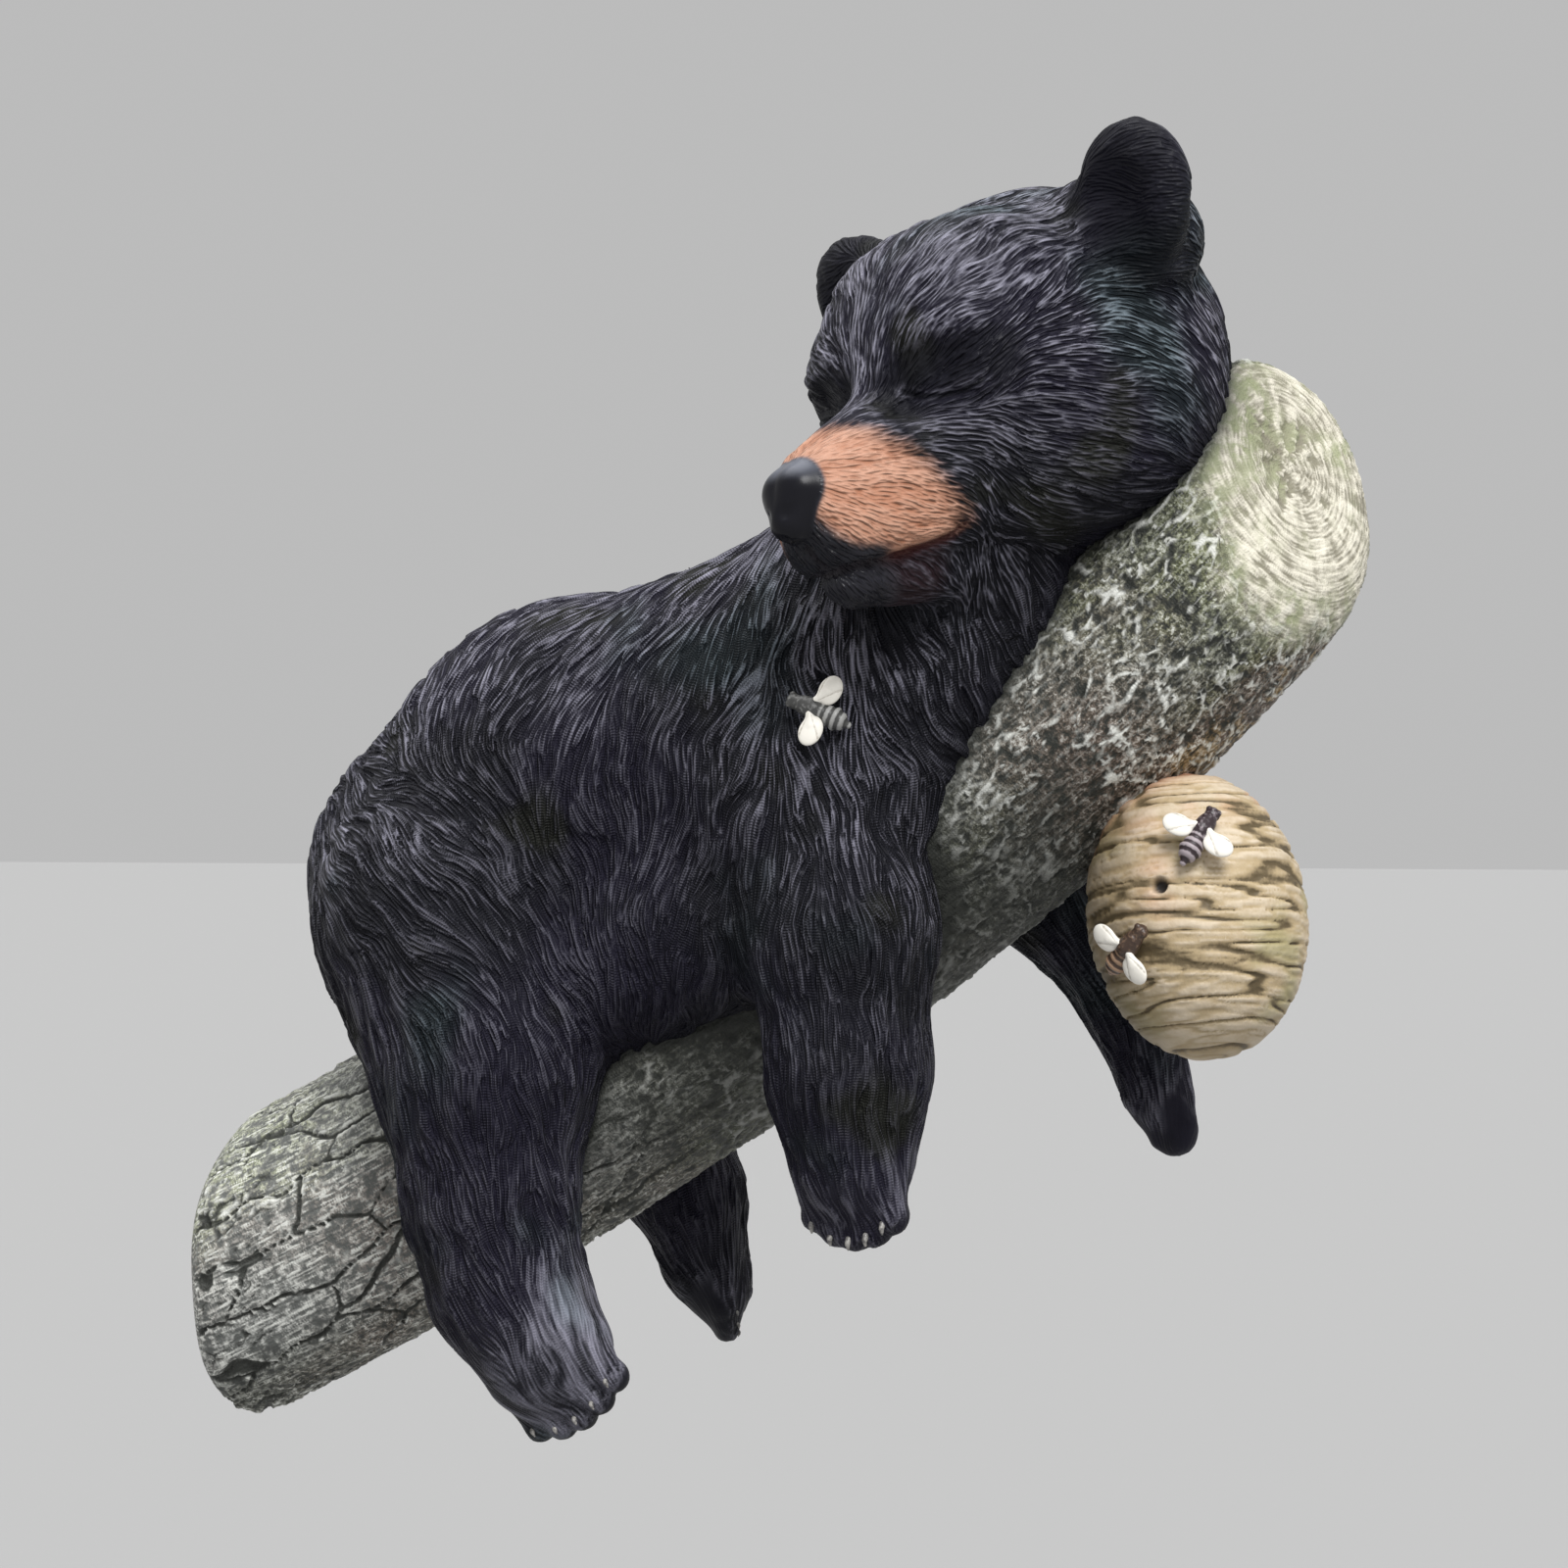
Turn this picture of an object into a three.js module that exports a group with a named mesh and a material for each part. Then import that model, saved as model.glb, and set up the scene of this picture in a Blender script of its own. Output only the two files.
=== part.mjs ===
/**
 * Painted resin ornament: a black bear cub asleep over a sloping branch, with a beehive
 * hanging under the branch and three small bees.
 *
 * Millimetres, +Z up. The branch leaves a flat mounting face in the plane X = 0, whose
 * centre is the origin, and rises towards +X. The cub's face looks towards -Y.
 *
 * Cub, branch and hive are one casting. It is described as a field of rounded bones that
 * are smoothly joined; the zero level of that field becomes a closed mesh, which is then
 * thinned where it is nearly flat. The bees are glued on, each a piece of its own.
 */
import * as THREE from 'three';
import { edgeTable, triTable } from 'three/addons/objects/MarchingCubes.js';

const DEGREE = Math.PI / 180;

// Branch: an arc in the XZ plane that steepens from the mounting face to the sawn end.
const BRANCH_START_SLOPE = 24 * DEGREE;
const BRANCH_END_SLOPE = 47 * DEGREE;
const BRANCH_LENGTH = 362;
const BRANCH_START_RADIUS = 36;
const BRANCH_END_RADIUS = 33;
const BRANCH_LUMP = 0.6;
const MOUNT_EDGE_ROUNDING = 11;
const SAWN_EDGE_ROUNDING = 14;
const SAWN_POINT = [289, 0, 204];
const SAWN_NORMAL = [0.875, -0.34, 0.344];

// Cub: each limb is a row of bone ends, [x, y, z, radius].
const SPINE = [[69, 0, 104, 44], [98, 0, 127, 46], [148, -2, 138, 45], [170, -4, 146, 43], [206, -5, 191, 37.5]];
const CHEST = [[178, -16, 136, 34], [210, -14, 180, 30]];
const FLANK = [[104, 28, 76, 22], [150, 31, 94, 22]];
const NEAR_HIND = [[75, -25, 93, 38], [89, -43, 54, 26], [92, -47, 24, 20.5], [97, -48, 3, 18], [108, -50, -13, 17]];
const FAR_HIND = [[78, 28, 92, 36], [91, 44, 50, 24], [109, 48, 20, 13.5], [113, 49, 3, 9.5], [116.5, 50, -5, 8.5]];
const NEAR_FORE = [[170, -30, 126, 29], [183, -42, 92, 22.5], [187, -47, 58, 18.5], [188, -47, 38, 15.5]];
const FAR_FORE = [[180, 30, 130, 27], [212, 44, 100, 15], [232, 46, 72, 10.5], [238, 47, 50, 9]];

// Paws: the root of the toes, the way they point, the way they spread, and their size.
const PAW_TOES = 5;
const PAWS = [
  { root: [115, -52, -20], point: [0.5, -0.25, -0.83], spread: [0.83, -0.2, 0.52], width: 26, length: 9, radius: 5.2 },
  { root: [117, 50, -8], point: [0.3, -0.2, -0.93], spread: [0.35, -0.85, 0.4], width: 13, length: 8, radius: 3.8 },
  { root: [189, -49, 29], point: [0.05, 0.1, -0.99], spread: [0.98, -0.2, 0.02], width: 20, length: 10, radius: 6 },
  { root: [241, 46, 44], point: [0.4, -0.1, -0.9], spread: [0.8, -0.4, 0.4], width: 9, length: 8, radius: 4.2 },
];

// Head: its centre and pose, then its parts as [forward, side, up, radius].
const HEAD_CENTRE = [226.5, -5, 230];
const HEAD_YAW = 27 * DEGREE;
const HEAD_PITCH = 16 * DEGREE;
const HEAD_ROLL = 12 * DEGREE;
const SKULL = [[1, 0, 2, 45.5], [18, 0, 4, 43]];
const CHEEK = [[8, 22, -16, 26], [34, 15, -20, 17]];
const BROW = [[28, 14, 24, 18], [44, 20, 16, 12]];
const MUZZLE = [[46, 0, -10, 25], [84, 0, -9.5, 14]];
const LIPS = [[58, 8, -19, 13], [86, 4, -18, 11]];
const JAW = [[40, 0, -32, 14], [87, 0, -30, 7]];
const NOSE = [[94.5, 2, -6.2, 7], [98.8, 0, -12, 5.5]];
const LIDS = [[51, 14, 8, 7], [47, 22, 6.5, 6.5]];
const EYE_HOLLOW = [[62.5, 14, 9.5, 6], [59.5, 24, 9, 6]];
const EAR_CENTRE = [2, 49.5, 34];
const EAR_TILT = 40 * DEGREE;
const EAR_RADII = [8.5, 16.5, 20];
const EAR_CUP_FORWARD = 11.5;
const EAR_CUP_RADII = [8, 12, 14.5];
const EAR_ROOT = [[-4, 34, 32, 12], [-6, 44, 24, 12]];

// Hive: an egg that hangs from the underside of the branch.
const HIVE_CENTRE = [264, -6, 96];
const HIVE_RADII = [27, 27, 35.5];
const HIVE_TILT = 9 * DEGREE;

// Bees: their parts as [forward, side, up, radius], and where and which way each one sits.
const BEE_BONES = [[[5.6, 0, 2.4, 1.9], [1.6, 0, 3.2, 2.9]], [[-1.5, 0, 2.8, 2.4], [-5, 0, 2.4, 2.6], [-8, 0, 1.6, 0.9]]];
const BEE_WING_CENTRE = [-1.2, 5.6, 4.6];
const BEE_WING_RADII = [2.9, 3.8, 1];
const BEE_LIFT = 0.9;
const BEES = [
  { name: 'bee_chest', near: [183, -60, 147.4], heading: [-0.93, 0, 0.36] },
  { name: 'bee_hive_top', near: [277, -45, 124], heading: [0.45, 0, 0.89] },
  { name: 'bee_hive_side', near: [251.5, -42, 87], heading: [0.7, 0, 0.7] },
];

// Meshes.
const CASTING_BOX = { low: [-7, -102, -45], high: [305, 78, 300], step: 2.75, triangles: 8600 };
const BEE_BOX = { low: [-11, -12, -2], high: [10, 12, 9], step: 0.7, triangles: 260 };
const HEAD_CARE = 4;
const HEAD_CARE_REACH = 75;

/** Component-wise helpers on [x, y, z]. */
const sum = (a, b) => a.map((v, i) => v + b[i]);
const difference = (a, b) => a.map((v, i) => v - b[i]);
const scaled = (a, s) => a.map((v) => v * s);
const dot = (a, b) => a[0] * b[0] + a[1] * b[1] + a[2] * b[2];
const cross = (a, b) => [a[1] * b[2] - a[2] * b[1], a[2] * b[0] - a[0] * b[2], a[0] * b[1] - a[1] * b[0]];
const unit = (a) => scaled(a, 1 / Math.hypot(...a));

/** Distance to a bone: two balls [x, y, z, radius] and the cone that touches both. */
function boneDistance(p, a, b) {
  const ab = difference(b, a);
  const ap = difference(p, a);
  const length2 = dot(ab, ab);
  const taper = a[3] - b[3];
  const slant2 = length2 - taper * taper;
  const along = dot(ap, ab);
  const past = along - length2;
  const off = difference(scaled(ap, length2), scaled(ab, along));
  const off2 = dot(off, off);
  const along2 = along * along * length2;
  const past2 = past * past * length2;
  const turn = Math.sign(taper) * taper * taper * off2;
  if (Math.sign(past) * slant2 * past2 > turn) {
    return Math.sqrt(off2 + past2) / length2 - b[3];
  }
  if (Math.sign(along) * slant2 * along2 < turn) {
    return Math.sqrt(off2 + along2) / length2 - a[3];
  }
  return (Math.sqrt(off2 * slant2 / length2) + along * taper) / length2 - a[3];
}

/** Distance, closely, to an egg of the given radii about the origin. */
function eggDistance(p, radii) {
  const k0 = Math.hypot(p[0] / radii[0], p[1] / radii[1], p[2] / radii[2]);
  const k1 = Math.hypot(p[0] / radii[0] ** 2, p[1] / radii[1] ** 2, p[2] / radii[2] ** 2);
  return k1 < 1e-9 ? -Math.min(...radii) : k0 * (k0 - 1) / k1;
}

/** Union of two distances with a fillet of width k. */
function join(a, b, k) {
  const h = Math.max(k - Math.abs(a - b), 0) / k;
  return Math.min(a, b) - h * h * k * 0.25;
}

/** The distance a with b cut out of it, the edge rounded by k. */
const carve = (a, b, k) => -join(-a, b, k);

/** Distance to a row of bone ends, blended at the joints by k. */
function limb(p, ends, k) {
  let d = boneDistance(p, ends[0], ends[1]);
  for (let i = 1; i + 1 < ends.length; i += 1) {
    d = join(d, boneDistance(p, ends[i], ends[i + 1]), k);
  }
  return d;
}

/** The point p turned by an angle in the plane of its last two coordinates. */
function turned(p, angle) {
  const c = Math.cos(angle);
  const s = Math.sin(angle);
  return [p[0], c * p[1] - s * p[2], s * p[1] + c * p[2]];
}

const ARC_RADIUS = BRANCH_LENGTH / (BRANCH_END_SLOPE - BRANCH_START_SLOPE);
const ARC_CENTRE = [-ARC_RADIUS * Math.sin(BRANCH_START_SLOPE), 0, ARC_RADIUS * Math.cos(BRANCH_START_SLOPE)];
const SAWN_UNIT = unit(SAWN_NORMAL);

/** Distance to the branch, with slow lumps round it, sawn off slantwise at the upper end. */
function branchDistance(p) {
  const dx = p[0] - ARC_CENTRE[0];
  const dz = ARC_CENTRE[2] - p[2];
  const up = ARC_RADIUS - Math.hypot(dx, dz);
  const along = (Math.atan2(dx, dz) - BRANCH_START_SLOPE) * ARC_RADIUS / BRANCH_LENGTH;
  const radius = BRANCH_START_RADIUS + (BRANCH_END_RADIUS - BRANCH_START_RADIUS) * along;
  const round = Math.atan2(up, p[1]);
  const lumps = BRANCH_LUMP * (Math.sin(3 * round + 9 * along) + Math.sin(5 * round - 14 * along + 1));
  const bark = Math.hypot(up, p[1]) - radius - lumps;
  return carve(bark, -dot(difference(p, SAWN_POINT), SAWN_UNIT), SAWN_EDGE_ROUNDING);
}

/** Distance to the hive. */
function hiveDistance(p) {
  const [y, x, z] = turned([p[1] - HIVE_CENTRE[1], p[0] - HIVE_CENTRE[0], p[2] - HIVE_CENTRE[2]], -HIVE_TILT);
  return eggDistance([x, y, z], HIVE_RADII);
}

/** Distance to the toes of one paw, spread in a shallow fan. */
function toesDistance(p, paw) {
  let d = Infinity;
  for (let toe = 0; toe < PAW_TOES; toe += 1) {
    const share = toe / (PAW_TOES - 1) - 0.5;
    const reach = paw.length * (1 - 1.6 * share * share);
    const start = sum(paw.root, scaled(paw.spread, share * paw.width * 0.7));
    const tip = sum(sum(paw.root, scaled(paw.spread, share * paw.width)), scaled(paw.point, reach));
    const bone = boneDistance(p, [...start, paw.radius], [...tip, paw.radius * 0.8]);
    d = toe === 0 ? bone : join(d, bone, 1.6);
  }
  return d;
}

const headTurn = new THREE.Matrix4()
  .makeRotationZ(-HEAD_YAW)
  .multiply(new THREE.Matrix4().makeRotationX(HEAD_PITCH))
  .multiply(new THREE.Matrix4().makeRotationY(-HEAD_ROLL));
const HEAD_FORWARD = new THREE.Vector3(0, -1, 0).transformDirection(headTurn).toArray();
const HEAD_SIDE = new THREE.Vector3(1, 0, 0).transformDirection(headTurn).toArray();
const HEAD_UP = new THREE.Vector3(0, 0, 1).transformDirection(headTurn).toArray();

/** Distance to the head; its two sides are alike. */
function headDistance(p) {
  const v = difference(p, HEAD_CENTRE);
  const q = [dot(v, HEAD_FORWARD), Math.abs(dot(v, HEAD_SIDE)), dot(v, HEAD_UP)];
  let d = boneDistance(q, ...SKULL);
  d = join(d, boneDistance(q, ...CHEEK), 14);
  d = join(d, boneDistance(q, ...BROW), 10);
  d = join(d, boneDistance(q, ...MUZZLE), 10);
  d = join(d, boneDistance(q, ...LIPS), 6);
  d = carve(d, boneDistance(q, ...EYE_HOLLOW), 9);
  d = join(d, boneDistance(q, ...LIDS), 6);
  d = join(d, boneDistance(q, ...JAW), 3);
  d = join(d, boneDistance(q, ...NOSE), 2.5);
  const inEar = turned(difference(q, EAR_CENTRE), EAR_TILT);
  const inCup = [inEar[0] - EAR_CUP_FORWARD, inEar[1], inEar[2]];
  const cup = eggDistance(inCup, EAR_CUP_RADII);
  d = join(d, boneDistance(q, ...EAR_ROOT), 10);
  return join(d, carve(eggDistance(inEar, EAR_RADII), cup, 4), 5);
}

/** Distance to the cub. */
function cubDistance(p) {
  let d = limb(p, SPINE, 14);
  d = join(d, limb([p[0], Math.abs(p[1]), p[2]], FLANK, 8), 16);
  d = join(d, limb(p, CHEST, 8), 12);
  [NEAR_HIND, FAR_HIND, NEAR_FORE, FAR_FORE].forEach((leg, i) => {
    d = join(d, join(limb(p, leg, 8), toesDistance(p, PAWS[i]), 5), 9);
  });
  return join(d, headDistance(p), 9);
}

/** Distance to the whole casting, cut flat at the mounting face. */
function castingDistance(p) {
  const branch = carve(branchDistance(p), p[0], MOUNT_EDGE_ROUNDING);
  return join(join(branch, hiveDistance(p), 4), cubDistance(p), 2.5);
}

/** Distance to a bee in its own axes: forward, side, up from the surface it sits on. */
function beeDistance(p) {
  let d = limb(p, BEE_BONES[0], 1);
  d = join(d, limb(p, BEE_BONES[1], 1), 0.6);
  const wing = difference([p[0], Math.abs(p[1]), p[2]], BEE_WING_CENTRE);
  return join(d, eggDistance(wing, BEE_WING_RADII), 1);
}

/** The zero level of a distance field inside a box, as points and triangles. */
function polygonise(distance, { low, high, step }) {
  const [nx, ny, nz] = low.map((v, i) => Math.ceil((high[i] - v) / step) + 1);
  const field = new Float64Array(nx * ny * nz);
  const index = (i, j, k) => (k * ny + j) * nx + i;
  for (let k = 0; k < nz; k += 1) {
    for (let j = 0; j < ny; j += 1) {
      for (let i = 0; i < nx; i += 1) {
        const d = distance([low[0] + i * step, low[1] + j * step, low[2] + k * step]);
        field[index(i, j, k)] = Math.abs(d) < 1e-4 ? 1e-4 : d;
      }
    }
  }
  const corners = [[0, 0, 0], [1, 0, 0], [1, 1, 0], [0, 1, 0], [0, 0, 1], [1, 0, 1], [1, 1, 1], [0, 1, 1]];
  const edges = [[0, 1], [1, 2], [3, 2], [0, 3], [4, 5], [5, 6], [7, 6], [4, 7], [0, 4], [1, 5], [2, 6], [3, 7]];
  const points = [];
  const triangles = [];
  const known = new Map();
  const pointOn = (cell, edge) => {
    const [a, b] = edges[edge].map((corner) => sum(cell, corners[corner]));
    const at = index(...a);
    const key = at * 3 + edges[edge].reduce((axis, corner, end) => (
      end === 1 ? corners[corner].findIndex((v, n) => v !== corners[edges[edge][0]][n]) : axis), 0);
    if (!known.has(key)) {
      const share = field[at] / (field[at] - field[index(...b)]);
      known.set(key, points.length);
      points.push(a.map((v, n) => low[n] + step * (v + share * (b[n] - v))));
    }
    return known.get(key);
  };
  for (let k = 0; k + 1 < nz; k += 1) {
    for (let j = 0; j + 1 < ny; j += 1) {
      for (let i = 0; i + 1 < nx; i += 1) {
        let code = 0;
        for (let n = 0; n < 8; n += 1) {
          code += field[index(i + corners[n][0], j + corners[n][1], k + corners[n][2])] < 0 ? 1 << n : 0;
        }
        for (let t = code * 16; edgeTable[code] !== 0 && triTable[t] !== -1; t += 3) {
          triangles.push([2, 1, 0].map((n) => pointOn([i, j, k], triTable[t + n])));
        }
      }
    }
  }
  return { points, triangles };
}

/** The area vector of a triangle: its normal times twice its area. */
const areaVector = (a, b, c) => cross(difference(b, a), difference(c, a));

/** The point that a quadric [xx xy xz yy yz zz x y z 1] likes best, drawn a little to `middle`. */
function bestPoint(q, middle) {
  const pull = 1e-3 * (q[0] + q[3] + q[5]) + 1e-12;
  const m = new THREE.Matrix3(q[0] + pull, q[1], q[2], q[1], q[3] + pull, q[4], q[2], q[4], q[5] + pull);
  const right = middle.map((v, i) => pull * v - q[6 + i]);
  return new THREE.Vector3(...right).applyMatrix3(m.invert()).toArray();
}

/** The squared error of a point against a quadric. */
function quadricError(q, [x, y, z]) {
  return q[0] * x * x + q[3] * y * y + q[5] * z * z + 2 * (q[1] * x * y + q[2] * x * z + q[4] * y * z)
    + 2 * (q[6] * x + q[7] * y + q[8] * z) + q[9];
}

/** A binary heap of entries whose first member is the cost. */
class CostHeap {
  constructor() {
    this.entries = [];
  }

  push(entry) {
    const heap = this.entries;
    let at = heap.push(entry) - 1;
    while (at > 0 && heap[(at - 1) >> 1][0] > heap[at][0]) {
      const parent = (at - 1) >> 1;
      [heap[at], heap[parent]] = [heap[parent], heap[at]];
      at = parent;
    }
  }

  pop() {
    const heap = this.entries;
    const top = heap[0];
    const last = heap.pop();
    if (heap.length > 0) {
      heap[0] = last;
      for (let at = 0; ;) {
        let child = 2 * at + 1;
        if (child + 1 < heap.length && heap[child + 1][0] < heap[child][0]) {
          child += 1;
        }
        if (child >= heap.length || heap[child][0] >= heap[at][0]) {
          break;
        }
        [heap[at], heap[child]] = [heap[child], heap[at]];
        at = child;
      }
    }
    return top;
  }
}

/**
 * Thin a closed mesh to a number of triangles by collapsing the edges that bend it least.
 * `care(point)` multiplies the cost where detail should stay.
 */
function thin({ points, triangles }, target, care) {
  const quadrics = points.map(() => new Float64Array(10));
  const faces = points.map(() => new Set());
  const stamps = new Int32Array(points.length);
  triangles.forEach((corner, face) => {
    const area = areaVector(...corner.map((c) => points[c]));
    const n = unit(area);
    const offset = -dot(n, points[corner[0]]);
    const plane = [n[0] * n[0], n[0] * n[1], n[0] * n[2], n[1] * n[1], n[1] * n[2], n[2] * n[2],
      n[0] * offset, n[1] * offset, n[2] * offset, offset * offset];
    corner.forEach((c) => {
      faces[c].add(face);
      plane.forEach((v, i) => {
        quadrics[c][i] += v * Math.hypot(...area);
      });
    });
  });
  const heap = new CostHeap();
  const neighbours = (a) => {
    const near = new Set();
    faces[a].forEach((face) => triangles[face].forEach((c) => near.add(c)));
    near.delete(a);
    return near;
  };
  const offer = (a, b) => {
    const q = quadrics[a].map((v, i) => v + quadrics[b][i]);
    const middle = scaled(sum(points[a], points[b]), 0.5);
    const place = bestPoint(q, middle);
    const span = difference(points[a], points[b]);
    const cost = (Math.max(quadricError(q, place), 0) + 1e-5 * dot(span, span)) * care(middle);
    heap.push([cost, a, b, stamps[a], stamps[b], place]);
  };
  const flips = (a, b, place) => [...faces[a]].some((face) => {
    const corner = triangles[face];
    if (corner.includes(b)) {
      return false;
    }
    const before = areaVector(...corner.map((c) => points[c]));
    const after = areaVector(...corner.map((c) => (c === a ? place : points[c])));
    return dot(before, after) < 0.3 * Math.hypot(...before) * Math.hypot(...after);
  });
  points.forEach((_, a) => neighbours(a).forEach((b) => a < b && offer(a, b)));
  let left = triangles.length;
  while (left > target && heap.entries.length > 0) {
    const [, a, b, stampA, stampB, place] = heap.pop();
    const fresh = stamps[a] === stampA && stamps[b] === stampB;
    const shared = fresh ? [...neighbours(a)].filter((c) => neighbours(b).has(c)) : [];
    if (shared.length === 2 && !flips(a, b, place) && !flips(b, a, place)) {
      points[a] = place;
      quadrics[a] = quadrics[a].map((v, i) => v + quadrics[b][i]);
      faces[b].forEach((face) => {
        if (triangles[face].includes(a)) {
          triangles[face].forEach((c) => faces[c].delete(face));
          triangles[face] = null;
          left -= 1;
        } else {
          triangles[face] = triangles[face].map((c) => (c === b ? a : c));
          faces[a].add(face);
        }
      });
      stamps[b] = -1;
      stamps[a] += 1;
      neighbours(a).forEach((c) => offer(a, c));
    }
  }
  return { points, triangles: triangles.filter((corner) => corner !== null) };
}

/** A closed three.js geometry from points and triangles, placed by `place(point)`. */
function geometryOf({ points, triangles }, place) {
  const used = new Map();
  triangles.flat().forEach((c) => used.has(c) || used.set(c, used.size));
  const geometry = new THREE.BufferGeometry();
  const positions = [...used.keys()].flatMap((c) => place(points[c]));
  geometry.setAttribute('position', new THREE.Float32BufferAttribute(positions, 3));
  geometry.setIndex(triangles.flat().map((c) => used.get(c)));
  geometry.computeVertexNormals();
  return geometry;
}

/** The outward direction of a distance field at a point. */
function slope(distance, p) {
  const h = 0.5;
  const steps = [[h, 0, 0], [0, h, 0], [0, 0, h]];
  return unit(steps.map((s) => distance(sum(p, s)) - distance(difference(p, s))));
}

const painted = (name, colour, roughness) => (
  new THREE.MeshStandardMaterial({ name, color: colour, roughness, metalness: 0 }));

/** The casting: cub, branch and hive. */
function castingMesh() {
  const care = (p) => (Math.hypot(...difference(p, HEAD_CENTRE)) < HEAD_CARE_REACH ? HEAD_CARE : 1);
  const shape = thin(polygonise(castingDistance, CASTING_BOX), CASTING_BOX.triangles, care);
  const flush = (p) => [Math.abs(p[0]) < 0.01 ? 0 : p[0], p[1], p[2]];
  const mesh = new THREE.Mesh(geometryOf(shape, flush), painted('resin_casting', 0x1b1c22, 0.6));
  mesh.name = 'cub_on_branch';
  return mesh;
}

/** One bee, sitting on the casting at the surface point nearest to `near`. */
function beeMesh({ name, near, heading }) {
  const shape = thin(polygonise(beeDistance, BEE_BOX), BEE_BOX.triangles, () => 1);
  let seat = near;
  for (let step = 0; step < 20; step += 1) {
    seat = difference(seat, scaled(slope(castingDistance, seat), castingDistance(seat)));
  }
  const up = slope(castingDistance, seat);
  const side = unit(cross(up, heading));
  const forward = cross(side, up);
  const mesh = new THREE.Mesh(geometryOf(shape, (p) => p), painted('bee_paint', 0x8a7a55, 0.5));
  mesh.name = name;
  mesh.applyMatrix4(new THREE.Matrix4().makeBasis(
    new THREE.Vector3(...forward), new THREE.Vector3(...side), new THREE.Vector3(...up)));
  mesh.position.set(...sum(seat, scaled(up, BEE_LIFT)));
  return mesh;
}

const ornament = new THREE.Group();
ornament.name = 'bear_cub_on_branch';
ornament.add(castingMesh());
BEES.forEach((bee) => ornament.add(beeMesh(bee)));

export default ornament;
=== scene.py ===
"""The finish of a painted resin ornament: a black bear cub asleep over a sloping branch.

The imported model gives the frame. Here the cub, the branch, the hive and the bees are
sculpted again at full detail round it: fur combed over the cub, bark and a sawn end on the
branch, straw coils on the hive, and paint on all of them.

Sizes in the classes are millimetres in the frame's own axes; meshes are made in metres.
"""

import logging
import math
from dataclasses import dataclass, field
from enum import Enum
from itertools import product
from typing import Callable, Sequence

import bmesh
import bpy
import numpy as np
from mathutils import Matrix, Vector


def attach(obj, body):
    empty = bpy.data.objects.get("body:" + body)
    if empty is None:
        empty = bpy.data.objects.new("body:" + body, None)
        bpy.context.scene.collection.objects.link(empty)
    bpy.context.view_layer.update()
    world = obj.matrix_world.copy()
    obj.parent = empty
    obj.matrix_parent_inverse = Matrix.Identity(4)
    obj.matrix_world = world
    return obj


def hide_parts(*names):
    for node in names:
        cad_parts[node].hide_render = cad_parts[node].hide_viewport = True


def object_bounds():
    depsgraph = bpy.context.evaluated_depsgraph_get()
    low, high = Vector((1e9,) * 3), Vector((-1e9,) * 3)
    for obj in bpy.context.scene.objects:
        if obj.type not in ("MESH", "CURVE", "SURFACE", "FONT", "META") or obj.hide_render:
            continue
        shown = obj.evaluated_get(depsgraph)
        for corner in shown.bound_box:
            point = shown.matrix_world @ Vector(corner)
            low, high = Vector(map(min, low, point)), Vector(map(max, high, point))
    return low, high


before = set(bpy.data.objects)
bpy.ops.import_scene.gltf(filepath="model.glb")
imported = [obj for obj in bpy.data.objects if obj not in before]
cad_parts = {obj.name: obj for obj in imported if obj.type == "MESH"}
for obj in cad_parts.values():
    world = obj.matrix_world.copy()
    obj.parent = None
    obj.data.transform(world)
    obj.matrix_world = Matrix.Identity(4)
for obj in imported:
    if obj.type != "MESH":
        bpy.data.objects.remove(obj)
CAD_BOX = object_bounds()

MM = 0.001
CASTING = "cub_on_branch"
log = logging.getLogger("ornament")

Joint = tuple[float, float, float, float]
Triple = tuple[float, float, float]
Line = tuple[tuple[float, float], ...]
Points = np.ndarray
Field = Callable[[Points], Points]
Socket = bpy.types.NodeSocket
Number = Socket | float


class Slot(Enum):
    """The names of the finishes."""

    FUR = "fur"
    BARK = "bark"
    HIVE = "hive"
    BEE_BODY = "bee_body"
    BEE_WING = "bee_wing"


# ------------------------------------------------------------------ distance fields


def join(a: Points, b: Points, k: float) -> Points:
    """Union of two distances with a fillet of width k."""
    h = np.maximum(k - np.abs(a - b), 0) / k
    return np.minimum(a, b) - h * h * k * 0.25


def carve(a: Points, b: Points, k: float) -> Points:
    """The distance a with b cut out of it, the edge rounded by k."""
    return -join(-a, b, k)


def bone(p: Points, a: Joint, b: Joint) -> Points:
    """Distance to two balls and the cone that touches both.

    Args:
        p: Points, one a row, in millimetres.
        a: Centre and radius of the first ball.
        b: Centre and radius of the second ball.

    Returns:
        One distance a point, negative inside.
    """
    start = np.array(a[:3], float)
    axis = np.array(b[:3], float) - start
    length2 = float(axis @ axis)
    taper = a[3] - b[3]
    slant2 = length2 - taper * taper
    out = p - start
    along = out @ axis
    off2 = np.maximum((out * out).sum(1) * length2 - along * along, 0) * length2
    past = along - length2
    along2 = along * along * length2
    past2 = past * past * length2
    turn = math.copysign(taper * taper, taper) * off2
    middle = (np.sqrt(off2 * slant2 / length2) + along * taper) / length2 - a[3]
    low = np.sqrt(off2 + along2) / length2 - a[3]
    high = np.sqrt(off2 + past2) / length2 - b[3]
    near_end = np.where(np.sign(along) * slant2 * along2 < turn, low, middle)
    return np.where(np.sign(past) * slant2 * past2 > turn, high, near_end)


def ball(p: Points, joint: Joint) -> Points:
    """Distance to a ball."""
    return np.linalg.norm(p - np.array(joint[:3]), axis=1) - joint[3]


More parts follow.
